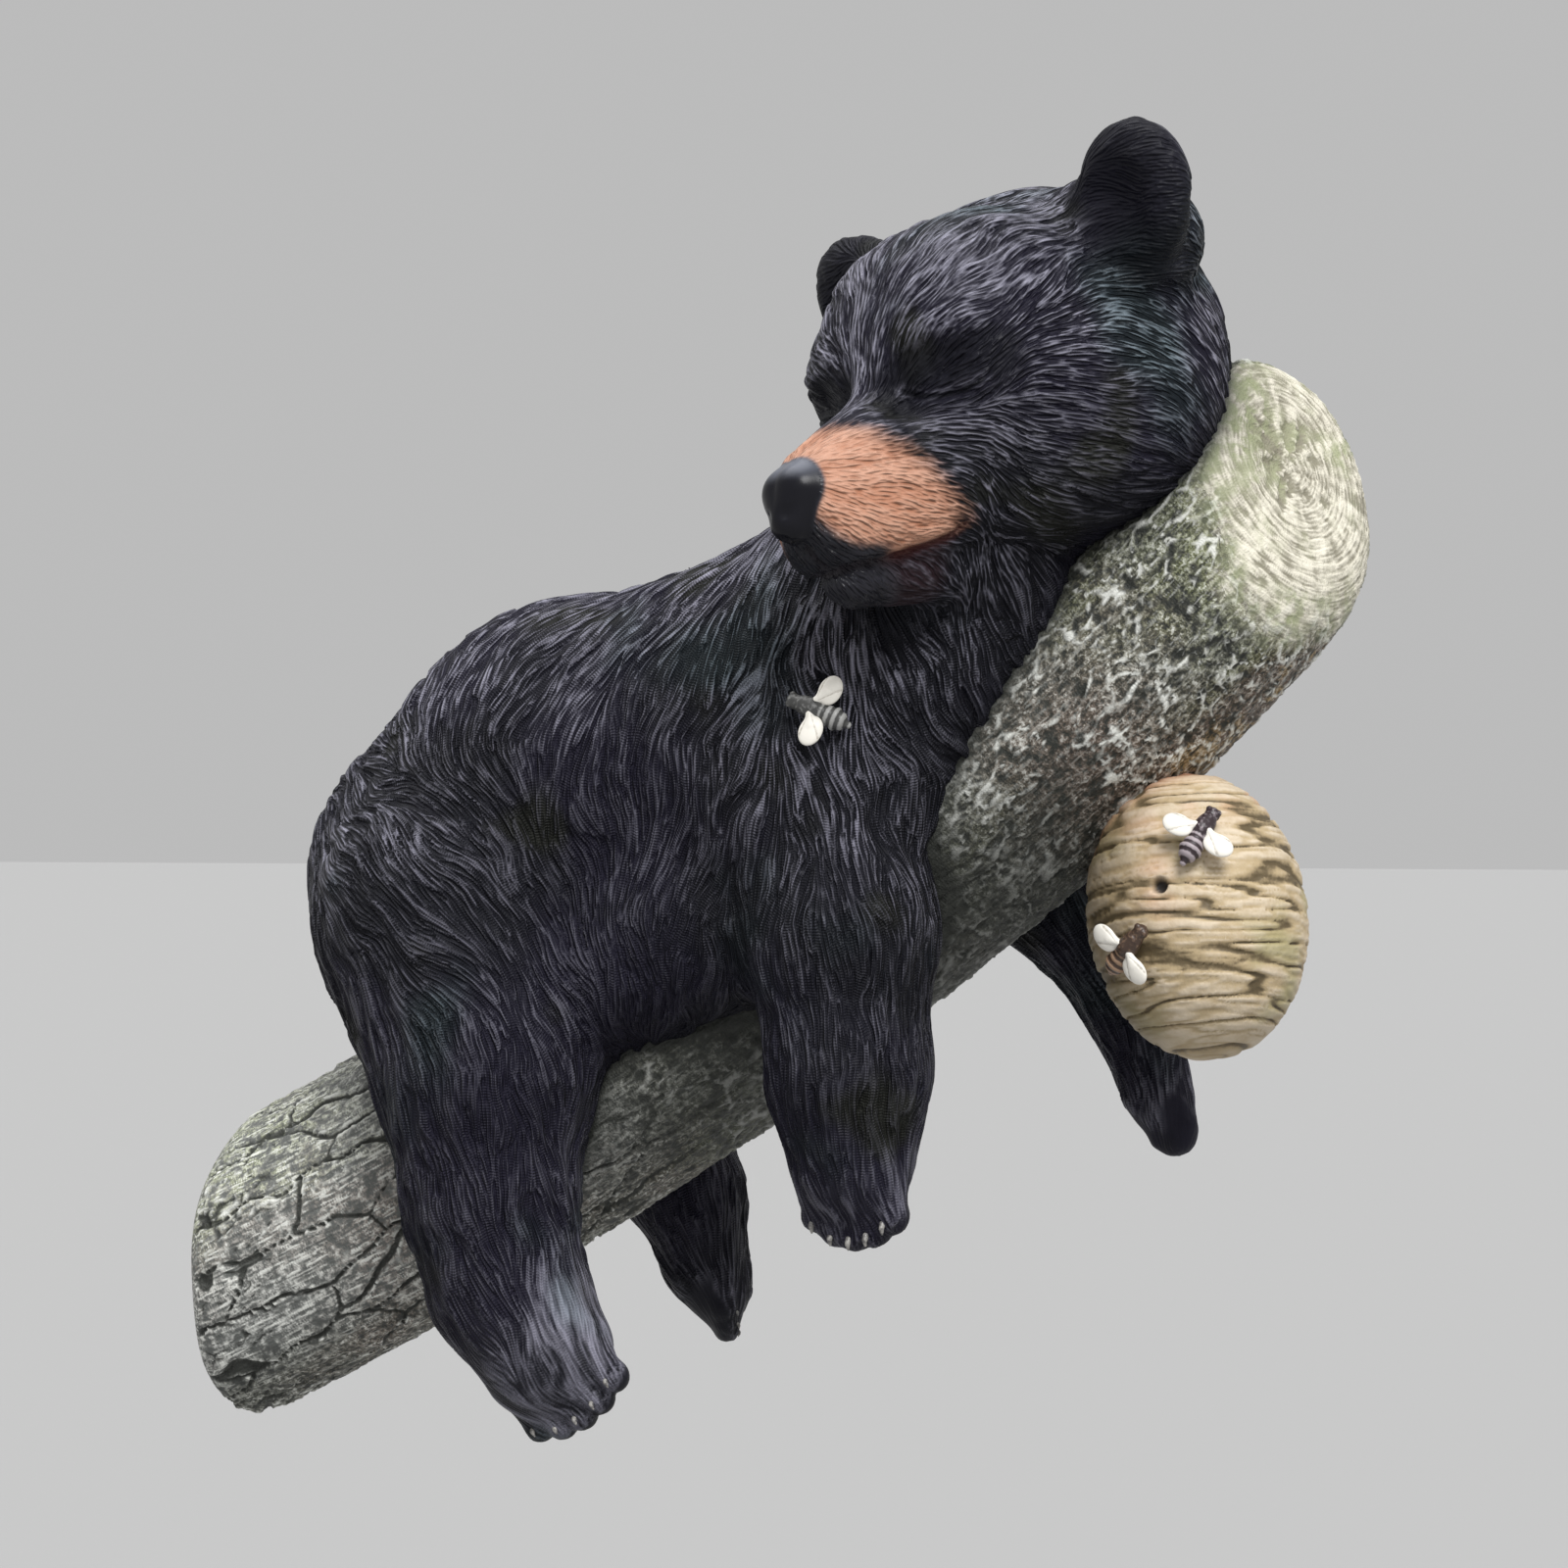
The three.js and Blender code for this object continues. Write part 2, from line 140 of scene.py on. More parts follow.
def egg(p: Points, radii: Triple) -> Points:
    """Distance, closely, to an egg about the origin.

    Args:
        p: Points, one a row, in millimetres.
        radii: The egg's three half axes.

    Returns:
        One distance a point, negative inside.
    """
    r = np.array(radii, float)
    k0 = np.linalg.norm(p / r, axis=1)
    k1 = np.linalg.norm(p / (r * r), axis=1)
    return np.where(k1 < 1e-9, -r.min(), k0 * (k0 - 1) / np.maximum(k1, 1e-9))


def limb(p: Points, joints: Sequence[Joint], k: float) -> Points:
    """Distance to a row of bone ends, blended at the joints by k.

    Args:
        p: Points, one a row, in millimetres.
        joints: The ball at each end and joint, in order.
        k: The width of the fillet at a joint.

    Returns:
        One distance a point, negative inside.
    """
    d = bone(p, joints[0], joints[1])
    for a, b in zip(joints[1:], joints[2:]):
        d = join(d, bone(p, a, b), k)
    return d


def turned(p: Points, angle: float) -> Points:
    """Points turned by an angle in the plane of their last two coordinates."""
    c, s = math.cos(angle), math.sin(angle)
    return np.stack([p[:, 0], c * p[:, 1] - s * p[:, 2], s * p[:, 1] + c * p[:, 2]], 1)


def ease(v: Points, low: float, high: float) -> Points:
    """A smooth step from 0 at low to 1 at high."""
    t = np.clip((v - low) / (high - low), 0, 1)
    return t * t * (3 - 2 * t)


def bell(v: Points, width: float) -> Points:
    """A bump that is 1 at 0 and falls away over the width to both sides."""
    return np.exp(-((v / width) ** 2))


def glow(d: Points, width: float) -> Points:
    """1 inside a surface that is d away, fading over the width outside it."""
    return np.exp(-np.maximum(d, 0) / width)


def spare(*parts: tuple[float, Points]) -> Points:
    """What is left of 1 once each area has taken its share of the rest."""
    return math.prod(1 - share * area for share, area in parts)


def unit(v: Points, floor: float = 1e-6) -> Points:
    """Rows made one long, but for rows shorter than the floor."""
    return v / np.maximum(np.linalg.norm(v, axis=1), floor)[:, None]


def folded(p: Points) -> Points:
    """Points with their two sides laid on each other."""
    return np.stack([p[:, 0], np.abs(p[:, 1]), p[:, 2]], 1)


# ------------------------------------------------------------------ solid noise


class Grit:
    """Seeded noise that fills space, the same on every run."""

    SIZE = 4096
    JITTER = 0.42
    FAR = 9.0
    PRIMES = (73856093, 19349663, 83492791)

    def __init__(self, seed: int) -> None:
        """Draw the table of random values."""
        rng = np.random.default_rng(seed)
        self.values = rng.uniform(-1, 1, (self.SIZE, 3))

    def _pick(self, cell: Points) -> Points:
        """The three random values of each lattice cell."""
        x, y, z = (cell[:, i] * prime for i, prime in enumerate(self.PRIMES))
        return self.values[(x ^ y ^ z) % self.SIZE]

    def smooth(self, p: Points, size: float) -> Points:
        """Smooth noise from -1 to 1 with lumps of about the given size.

        Args:
            p: Points, one a row.
            size: The size of a lump, in p's own measure.

        Returns:
            One value a point.
        """
        q = p / size
        cell = np.floor(q).astype(np.int64)
        f = q - cell
        f = f * f * (3 - 2 * f)
        total = np.zeros(len(p))
        for corner in product((0, 1), repeat=3):
            c = np.array(corner)
            weight = np.prod(np.where(c, f, 1 - f), axis=1)
            total += weight * self._pick(cell + c)[:, 0]
        return total

    def lumps(self, p: Points, size: float, octaves: int = 3) -> Points:
        """Several octaves of smooth noise."""
        parts = [self.smooth(p + 17.0 * n, size / 2**n) / 2**n for n in range(octaves)]
        return np.sum(parts, axis=0) / (2 - 2 ** (1 - octaves))

    def cells(self, p: Points, size: float, stretch: float = 1.0) -> tuple[Points, Points]:
        """Cracked cells: how far a point is from the nearest border, and its cell's value.

        Args:
            p: Points, one a row.
            size: The size of a cell.
            stretch: How much longer a cell is along the first axis.

        Returns:
            The distance to the border, twice over, in p's own measure, and a random value a cell.
        """
        sizes = size * np.array((stretch, 1.0, 1.0))
        q = p / sizes
        cell = np.floor(q).astype(np.int64)
        first = np.full(len(p), self.FAR)
        second = first.copy()
        value = np.zeros(len(p))
        to_first = np.zeros((len(p), 3))
        to_second = to_first.copy()
        for shift in product((-1, 0, 1), repeat=3):
            other = cell + np.array(shift)
            pick = self._pick(other)
            to = other + 0.5 + self.JITTER * pick - q
            d = np.linalg.norm(to, axis=1)
            nearer = d < first
            next_nearer = ~nearer & (d < second)
            to_second[nearer] = to_first[nearer]
            to_second[next_nearer] = to[next_nearer]
            to_first[nearer] = to[nearer]
            second = np.where(nearer, first, np.minimum(second, d))
            value = np.where(nearer, pick[:, 0], value)
            first = np.where(nearer, d, first)
        slope = to_first / first[:, None] - to_second / second[:, None]
        return (second - first) * 2 / np.linalg.norm(slope / sizes, axis=1), value


# ------------------------------------------------------------------ meshes


@dataclass
class Clay:
    """A piece being modelled: a mesh object whose points are worked in millimetres."""

    name: str
    mesh: bpy.types.Mesh

    # The farthest that one round of settling moves a point, and the share of its way.
    FARTHEST = 1.5
    SHARE = 0.9
    # How far apart a field is sampled to find its slope, in millimetres.
    PROBE = 0.05

    @classmethod
    def from_bmesh(cls, name: str, bm: bmesh.types.BMesh) -> "Clay":
        """Take over a bmesh that is in millimetres.

        Args:
            name: The piece's name.
            bm: The bmesh, which is used up.

        Returns:
            The clay.
        """
        bmesh.ops.transform(bm, matrix=Matrix.Scale(MM, 4), verts=bm.verts)
        bmesh.ops.recalc_face_normals(bm, faces=bm.faces)
        mesh = bpy.data.meshes.new(name)
        bm.to_mesh(mesh)
        bm.free()
        return cls(name, mesh)

    @property
    def points(self) -> Points:
        """The points, in millimetres.

        Returns:
            The points, one a row.
        """
        co = np.empty(len(self.mesh.vertices) * 3)
        self.mesh.vertices.foreach_get("co", co)
        return co.reshape(-1, 3) / MM

    @points.setter
    def points(self, p: Points) -> None:
        """Move the points, given in millimetres."""
        self.mesh.vertices.foreach_set("co", (p * MM).ravel())
        self.mesh.update()

    @property
    def normals(self) -> Points:
        """The outward direction at each point.

        Returns:
            The directions, one a row.
        """
        n = np.empty(len(self.mesh.vertices) * 3)
        self.mesh.vertex_normals.foreach_get("vector", n)
        return n.reshape(-1, 3)

    def modified(self, kind: str, **settings) -> None:
        """Apply one modifier to the mesh.

        Args:
            kind: The modifier's type.
            **settings: Its properties.
        """
        obj = bpy.data.objects.new(self.name + "_work", self.mesh)
        bpy.context.scene.collection.objects.link(obj)
        modifier = obj.modifiers.new(kind.lower(), kind)
        for key, value in settings.items():
            setattr(modifier, key, value)
        graph = bpy.context.evaluated_depsgraph_get()
        self.mesh = bpy.data.meshes.new_from_object(obj.evaluated_get(graph))
        bpy.data.objects.remove(obj)

    def voxels(self, size: float) -> None:
        """Make the mesh one closed skin of even squares of the given size."""
        self.modified("REMESH", mode="VOXEL", voxel_size=size * MM, adaptivity=0.0)

    def settle(self, distance: Field, rounds: int = 4) -> None:
        """Move the points along their normals onto the zero level of a distance field.

        Args:
            distance: The distance field.
            rounds: How many times the points are moved.
        """
        for _ in range(rounds):
            p = self.points
            move = np.clip(distance(p), -self.FARTHEST, self.FARTHEST)
            self.points = p - self.normals * move[:, None] * self.SHARE

    def wrap(self, distance: Field, rounds: int = 5) -> None:
        """Move the points down a distance field's own slope, which holds where an edge is sharp.

        Args:
            distance: The distance field.
            rounds: How many times the points are moved.
        """
        for _ in range(rounds):
            p = self.points
            d = distance(p)
            slope = np.stack([distance(p + self.PROBE * axis) - d for axis in np.eye(3)], 1)
            self.points = p - unit(slope, 1e-9) * d[:, None] * self.SHARE
            self.relax(0.3)

    def relax(self, share: float = 0.5) -> None:
        """Even out the points by moving each towards the middle of its neighbours.

        Args:
            share: How much of the way each moves.
        """
        edges = np.empty(len(self.mesh.edges) * 2, np.int64)
        self.mesh.edges.foreach_get("vertices", edges)
        a, b = edges.reshape(-1, 2).T
        p = self.points
        count = np.bincount(a, minlength=len(p)) + np.bincount(b, minlength=len(p))
        middle = np.stack([
            np.bincount(a, p[b, i], len(p)) + np.bincount(b, p[a, i], len(p)) for i in range(3)
        ], 1) / count[:, None]
        self.points = p + share * (middle - p)

    def paint(self, name: str, values: Points) -> None:
        """Store one number a point for the finish to read."""
        layer = self.mesh.attributes.new(name, "FLOAT", "POINT")
        layer.data.foreach_set("value", np.asarray(values, np.float32))

    def mask(self, name: str, values: Points) -> None:
        """Store one share a point, kept from 0 to 1."""
        self.paint(name, np.clip(values, 0, 1))

    def lay(self, name: str, ways: Points) -> None:
        """Store one direction a point for the finish to read."""
        layer = self.mesh.attributes.new(name, "FLOAT_VECTOR", "POINT")
        layer.data.foreach_set("vector", np.asarray(ways, np.float32).ravel())

    def mould(self, distance: Field, size: float) -> None:
        """Give the clay an even skin of squares of one size that lies on a distance field.

        Args:
            distance: The distance field.
            size: The size of a square, in millimetres.
        """
        self.voxels(size)
        self.settle(distance, 3)
        self.relax(0.4)
        self.settle(distance, 1)

    def finish(self, material: bpy.types.Material, slot: Slot, *nodes: str) -> bpy.types.Object:
        """Turn the clay into a piece of the scene.

        Args:
            material: Its finish.
            slot: Not used.
            *nodes: The CAD nodes that the piece stands for.

        Returns:
            The finished object.
        """
        self.mesh.name = self.name
        self.mesh.materials.clear()
        self.mesh.materials.append(material)
        self.mesh.polygons.foreach_set("use_smooth", np.ones(len(self.mesh.polygons), bool))
        obj = bpy.data.objects.new(self.name, self.mesh)
        bpy.context.scene.collection.objects.link(obj)
        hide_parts(*nodes)
        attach(obj, "root")
        triangles = sum(len(f.vertices) - 2 for f in self.mesh.polygons)
        log.info("%s: %d triangles", self.name, triangles)
        return obj


def add_ball(bm: bmesh.types.BMesh, joint: Joint) -> None:
    """Add a ball to a blank."""
    place = Matrix.Translation(joint[:3])
    bmesh.ops.create_uvsphere(bm, u_segments=24, v_segments=14, radius=joint[3], matrix=place)


def add_bone(bm: bmesh.types.BMesh, a: Joint, b: Joint) -> None:
    """Add two balls and the cone between them to a blank.

    Args:
        bm: The blank.
        a: Centre and radius of the first ball.
        b: Centre and radius of the second ball.
    """
    start, end = Vector(a[:3]), Vector(b[:3])
    add_ball(bm, a)
    add_ball(bm, b)
    turn = (end - start).to_track_quat("Z", "Y").to_matrix().to_4x4()
    bmesh.ops.create_cone(
        bm, cap_ends=True, segments=24, radius1=a[3], radius2=b[3],
        depth=(end - start).length, matrix=Matrix.Translation((start + end) / 2) @ turn,
    )


# ------------------------------------------------------------------ shader nodes


class Ink:
    """A node tree being drawn, with short ways to add its nodes."""

    # How far one octave of noise strays from its middle.
    NOISE_SPREAD = 0.16

    def __init__(self, tree: bpy.types.NodeTree) -> None:
        """Draw in this tree."""
        self.tree = tree

    def add(self, kind: str, inputs: dict | None = None, **settings) -> bpy.types.Node:
        """Add a node, set its properties and set or link its inputs.

        Args:
            kind: The node's type.
            inputs: A value or a socket for each input, by its name or number.
            **settings: The node's properties.

        Returns:
            The node.
        """
        node = self.tree.nodes.new(kind)
        for key, value in settings.items():
            setattr(node, key, value)
        for key, value in (inputs or {}).items():
            if isinstance(value, Socket):
                self.tree.links.new(value, node.inputs[key])
            else:
                node.inputs[key].default_value = value
        return node

    def attribute(self, name: str) -> Socket:
        """A number stored on the mesh's points."""
        return self.add("ShaderNodeAttribute", attribute_name=name).outputs["Fac"]

    def direction(self, name: str) -> Socket:
        """A direction stored on the mesh's points."""
        return self.add("ShaderNodeAttribute", attribute_name=name).outputs["Vector"]

    def place(self) -> Socket:
        """The place in the piece, in metres."""
        return self.add("ShaderNodeTexCoord").outputs["Object"]

    def math(self, operation: str, *values: Number) -> Socket:
        """Arithmetic on two or more numbers, worked from left to right.

        Args:
            operation: The math node's operation.
            *values: Numbers and sockets.

        Returns:
            The result.
        """
        total, *rest = values
        for value in rest:
            total = self.add("ShaderNodeMath", {0: total, 1: value}, operation=operation).outputs[0]
        return total

    def plus(self, *values: Number) -> Socket:
        """The sum of some numbers."""
        return self.math("ADD", *values)

    def times(self, *values: Number) -> Socket:
        """The product of some numbers."""
        return self.math("MULTIPLY", *values)

    def shaken(self, value: Number, noise: Socket, by: float) -> Socket:
        """A number shaken up and down by a noise."""
        return self.plus(value, self.times(self.math("SUBTRACT", noise, 0.5), by))

    def noise(self, vector: Socket, scale: Number, detail: float = 4.0, roughness: float = 0.55) -> Socket:
        """Noise from 0 to 1."""
        inputs = {"Vector": vector, "Scale": scale, "Detail": detail, "Roughness": roughness}
        return self.add("ShaderNodeTexNoise", inputs).outputs["Fac"]

    def drawn_out(self, way: Socket, size: float, reach: float, taps: int) -> Socket:
        """Noise of about -1 to 1 whose grains are drawn out both ways along a direction.

        Args:
            way: The direction.
            size: The width of a grain, in millimetres.
            reach: How far a grain is drawn out to each side, in millimetres.
            taps: How many samples are taken to each side.

        Returns:
            The noise.
        """
        place = self.place()
        shares = {tap: math.cos(0.5 * math.pi * tap / (taps + 1)) for tap in range(-taps, taps + 1)}
        samples = []
        for tap, share in shares.items():
            inputs = {0: way, 1: (reach * MM * tap / taps,) * 3, 2: place}
            at = self.add("ShaderNodeVectorMath", inputs, operation="MULTIPLY_ADD").outputs[0]
            samples.append(self.times(self.noise(at, 1 / (size * MM), 0.0), share))
        spread = self.NOISE_SPREAD * math.sqrt(sum(share * share for share in shares.values()))
        middle = 0.5 * sum(shares.values())
        return self.times(self.math("SUBTRACT", self.plus(*samples), middle), 1 / spread)

    def ramp(
        self, value: Socket, low: Number, high: Number, to_low: float = 0.0, to_high: float = 1.0,
    ) -> Socket:
        """A smooth step of a number from one range to another."""
        inputs = {"Value": value, "From Min": low, "From Max": high, "To Min": to_low, "To Max": to_high}
        return self.add("ShaderNodeMapRange", inputs, interpolation_type="SMOOTHSTEP").outputs["Result"]

    def mix(self, factor: Number, a: Socket | Triple, b: Socket | Triple) -> Socket:
        """A blend of two colours.

        Args:
            factor: How much of the second colour there is.
            a: The first colour.
            b: The second colour.

        Returns:
            The blended colour.
        """
        node = self.add("ShaderNodeMix", data_type="RGBA", clamp_factor=True)
        for index, value in ((0, factor), (6, a), (7, b)):
            if isinstance(value, Socket):
                self.tree.links.new(value, node.inputs[index])
            else:
                node.inputs[index].default_value = value if index == 0 else (*value, 1.0)
        return node.outputs[2]

    def worn(self, grain: Socket, middle: float, gain: float) -> Socket:
        """A roughness a little under its middle value, and more by the gain where the grain is high."""
        return self.ramp(grain, 0.3, 0.7, middle - 0.08, middle + gain)

    def dress(self, shader: bpy.types.Node, colour: Socket, rough: Socket, normal: Socket) -> None:
        """Link the three things that vary over a painted surface to its shader."""
        for name, socket in {"Base Color": colour, "Roughness": rough, "Normal": normal}.items():
            self.tree.links.new(socket, shader.inputs[name])

    def bump(self, height: Socket, depth: float, strength: float = 1.0) -> Socket:
        """A normal shaken by a height; depth is in millimetres."""
        inputs = {"Height": height, "Distance": depth * MM, "Strength": strength}
        return self.add("ShaderNodeBump", inputs).outputs["Normal"]


class Groups:
    """Paint effects that several finishes share, each built once as a node group."""

    _built: dict[str, bpy.types.NodeTree] = {}

    @classmethod
    def drybrush(cls) -> bpy.types.NodeTree:
        """A mask of paint dragged over raised places: patchy, and broken by grain.

        Returns:
            The node group.
        """
        if "drybrush" in cls._built:
            return cls._built["drybrush"]
        tree = bpy.data.node_groups.new("drybrush", "ShaderNodeTree")
        for name in ("Height", "Level", "Softness", "Patch Scale", "Grain Scale"):
            tree.interface.new_socket(name, in_out="INPUT", socket_type="NodeSocketFloat")
        tree.interface.new_socket("Mask", in_out="OUTPUT", socket_type="NodeSocketFloat")
        ink = Ink(tree)
        source = ink.add("NodeGroupInput").outputs
        place = ink.place()
        patch = ink.noise(place, source["Patch Scale"], 2.0)
        grain = ink.noise(place, source["Grain Scale"], 3.0, 0.7)
        shaken = ink.shaken(ink.shaken(source["Height"], patch, 0.9), grain, 0.5)
        top = ink.plus(source["Level"], source["Softness"])
        ramp = ink.ramp(shaken, source["Level"], top)
        ink.add("NodeGroupOutput", {"Mask": ramp})
        cls._built["drybrush"] = tree
        return tree


def new_material(name: str) -> tuple[bpy.types.Material, Ink, bpy.types.Node]:
    """A material with an empty tree but for its shader and output.

    Args:
        name: The material's name.

    Returns:
        The material, the ink to draw its tree with, and its shader node.
    """
    material = bpy.data.materials.new(name)
    material.use_nodes = True
    ink = Ink(material.node_tree)
    material.node_tree.nodes.clear()
    shader = ink.add("ShaderNodeBsdfPrincipled")
    ink.add("ShaderNodeOutputMaterial", {"Surface": shader.outputs["BSDF"]})
    return material, ink, shader


def drybrush(
    ink: Ink, height: Socket, level: float, softness: float, patch: float, grain: float,
) -> Socket:
    """Place the shared dry-brush group with its own values.

    Args:
        ink: The tree that it goes into.
        height: How raised the surface is.
        level: The height that the brush starts to touch.
        softness: How much higher it covers all.
        patch: The scale of the patches that it misses.
        grain: The scale of the grain that breaks it.

    Returns:
        The mask of the paint.
    """
    scales = {"Patch Scale": patch, "Grain Scale": grain}
    inputs = {"Height": height, "Level": level, "Softness": softness, **scales}
    return ink.add("ShaderNodeGroup", inputs, node_tree=Groups.drybrush()).outputs["Mask"]


# ------------------------------------------------------------------ the cub


@dataclass(frozen=True)
class FurFinish:
    """Near-black paint with grey dragged over the strands, tan muzzle, dark nose and lips; with painted light
    and shade: more grey where the fur faces up and stands free, a painted highlight on the nose, and painted
    shade round the eyes and where the cub lies on the wood.
    """

    black: Triple = (0.0062, 0.0064, 0.0100)
    violet: Triple = (0.0090, 0.0080, 0.0170)
    teal: Triple = (0.0062, 0.0100, 0.0125)
    olive: Triple = (0.0090, 0.0095, 0.0075)
    grey: Triple = (0.2750, 0.2700, 0.3350)
    grey_teal: Triple = (0.2000, 0.2500, 0.2850)
    tan: Triple = (0.3600, 0.1500, 0.0850)
    tan_light: Triple = (0.5100, 0.2900, 0.2050)
    nose: Triple = (0.0080, 0.0080, 0.0110)
    # A painted highlight on the top of the nose.
    nose_highlight: Triple = (0.1500, 0.1600, 0.1950)
    mouth: Triple = (0.0450, 0.0080, 0.0080)
    roughness: float = 0.50
    nose_roughness: float = 0.24
    specular: float = 0.16
    strand: float = 0.72
    strand_reach: float = 4.2
    strand_depth: float = 0.34

    def material(self) -> bpy.types.Material:
        """Build the material; it reads the strands and the painted areas from the mesh.

        Returns:
            The material.
        """
        material, ink, shader = new_material("painted_fur")
        place = ink.place()
        fine = ink.drawn_out(ink.direction("way"), self.strand, self.strand_reach, 6)
        strands = ink.times(fine, ink.attribute("coat"))
        height = ink.plus(ink.times(strands, 0.62), ink.times(ink.attribute("lock"), 0.45))
        hue = ink.mix(ink.ramp(ink.noise(place, 14.0, 2.0), 0.42, 0.60), self.black, self.violet)
        teal = ink.ramp(ink.noise(place, 21.0, 2.0), 0.56, 0.74)
        hue = ink.mix(teal, hue, self.teal)
        hue = ink.mix(ink.ramp(ink.noise(place, 32.0, 1.0), 0.60, 0.72), hue, self.olive)
        pale = ink.mix(teal, self.grey, self.grey_teal)
        mask = drybrush(ink, height, -0.25, 1.9, 30.0, 1400.0)
        # The grey is real dry brush, scaled by a share that also holds painted light: more where the fur
        # faces up, stands free and lies high, painted shade in recesses and low down.
        fur = ink.mix(ink.times(mask, ink.attribute("brushed_and_lit")), hue, pale)
        tan = ink.mix(ink.ramp(height, -1.6, 1.2), self.tan, self.tan_light)
        area = ink.attribute("tan")
        feather = ink.times(strands, ink.ramp(area, 0.0, 0.3, 0.0, 0.16))
        colour = ink.mix(ink.ramp(ink.plus(area, feather), 0.08, 0.95), fur, tan)
        colour = ink.mix(ink.attribute("mouth"), colour, self.mouth)
        # Painted highlight on the top of the nose, where it faces up.
        nose = ink.mix(ink.attribute("brushed_and_lit"), self.nose, self.nose_highlight)
        colour = ink.mix(ink.attribute("nose"), colour, nose)
        # Painted shade round the eyes, in the lid line and where the cub lies on the wood; darker ears.
        colour = ink.mix(ink.attribute("shade"), colour, self.black)
        rough = ink.ramp(height, -1.0, 1.0, self.roughness + 0.14, self.roughness - 0.06)
        glossy = ink.times(ink.attribute("nose"), self.nose_roughness - self.roughness)
        ink.dress(shader, colour, ink.plus(rough, glossy), ink.bump(strands, self.strand_depth))
        shader.inputs["Specular IOR Level"].default_value = self.specular
        return material


@dataclass(frozen=True)
class ClawFinish:
    """Horn-grey paint on the claws, mottled with a darker grey."""

    horn: Triple = (0.300, 0.290, 0.270)
    root: Triple = (0.090, 0.085, 0.085)
    roughness: float = 0.38

    def material(self) -> bpy.types.Material:
        """Build the material.

        Returns:
            The material.
        """
        material, ink, shader = new_material("painted_claw")
        grain = ink.noise(ink.place(), 900.0, 3.0, 0.6)
        colour = ink.mix(ink.ramp(grain, 0.35, 0.65), self.root, self.horn)
        ink.dress(shader, colour, ink.worn(grain, self.roughness, 0.12), ink.bump(grain, 0.1, 0.5))
        return material


def near_line(at: Points, line: Line) -> Points:
    """How far places in a plane are from a line of several straight stretches.

    Args:
        at: Places in the plane, one a row.
        line: The points that the line runs through.

    Returns:
        One distance a place.
    """
    best = np.full(len(at), 1e3)
    for a, b in zip(line, line[1:]):
        start = np.array(a, float)
        axis = np.array(b, float) - start
        share = np.clip((at - start) @ axis / (axis @ axis), 0, 1)
        best = np.minimum(best, np.linalg.norm(at - start - share[:, None] * axis, axis=1))
    return best


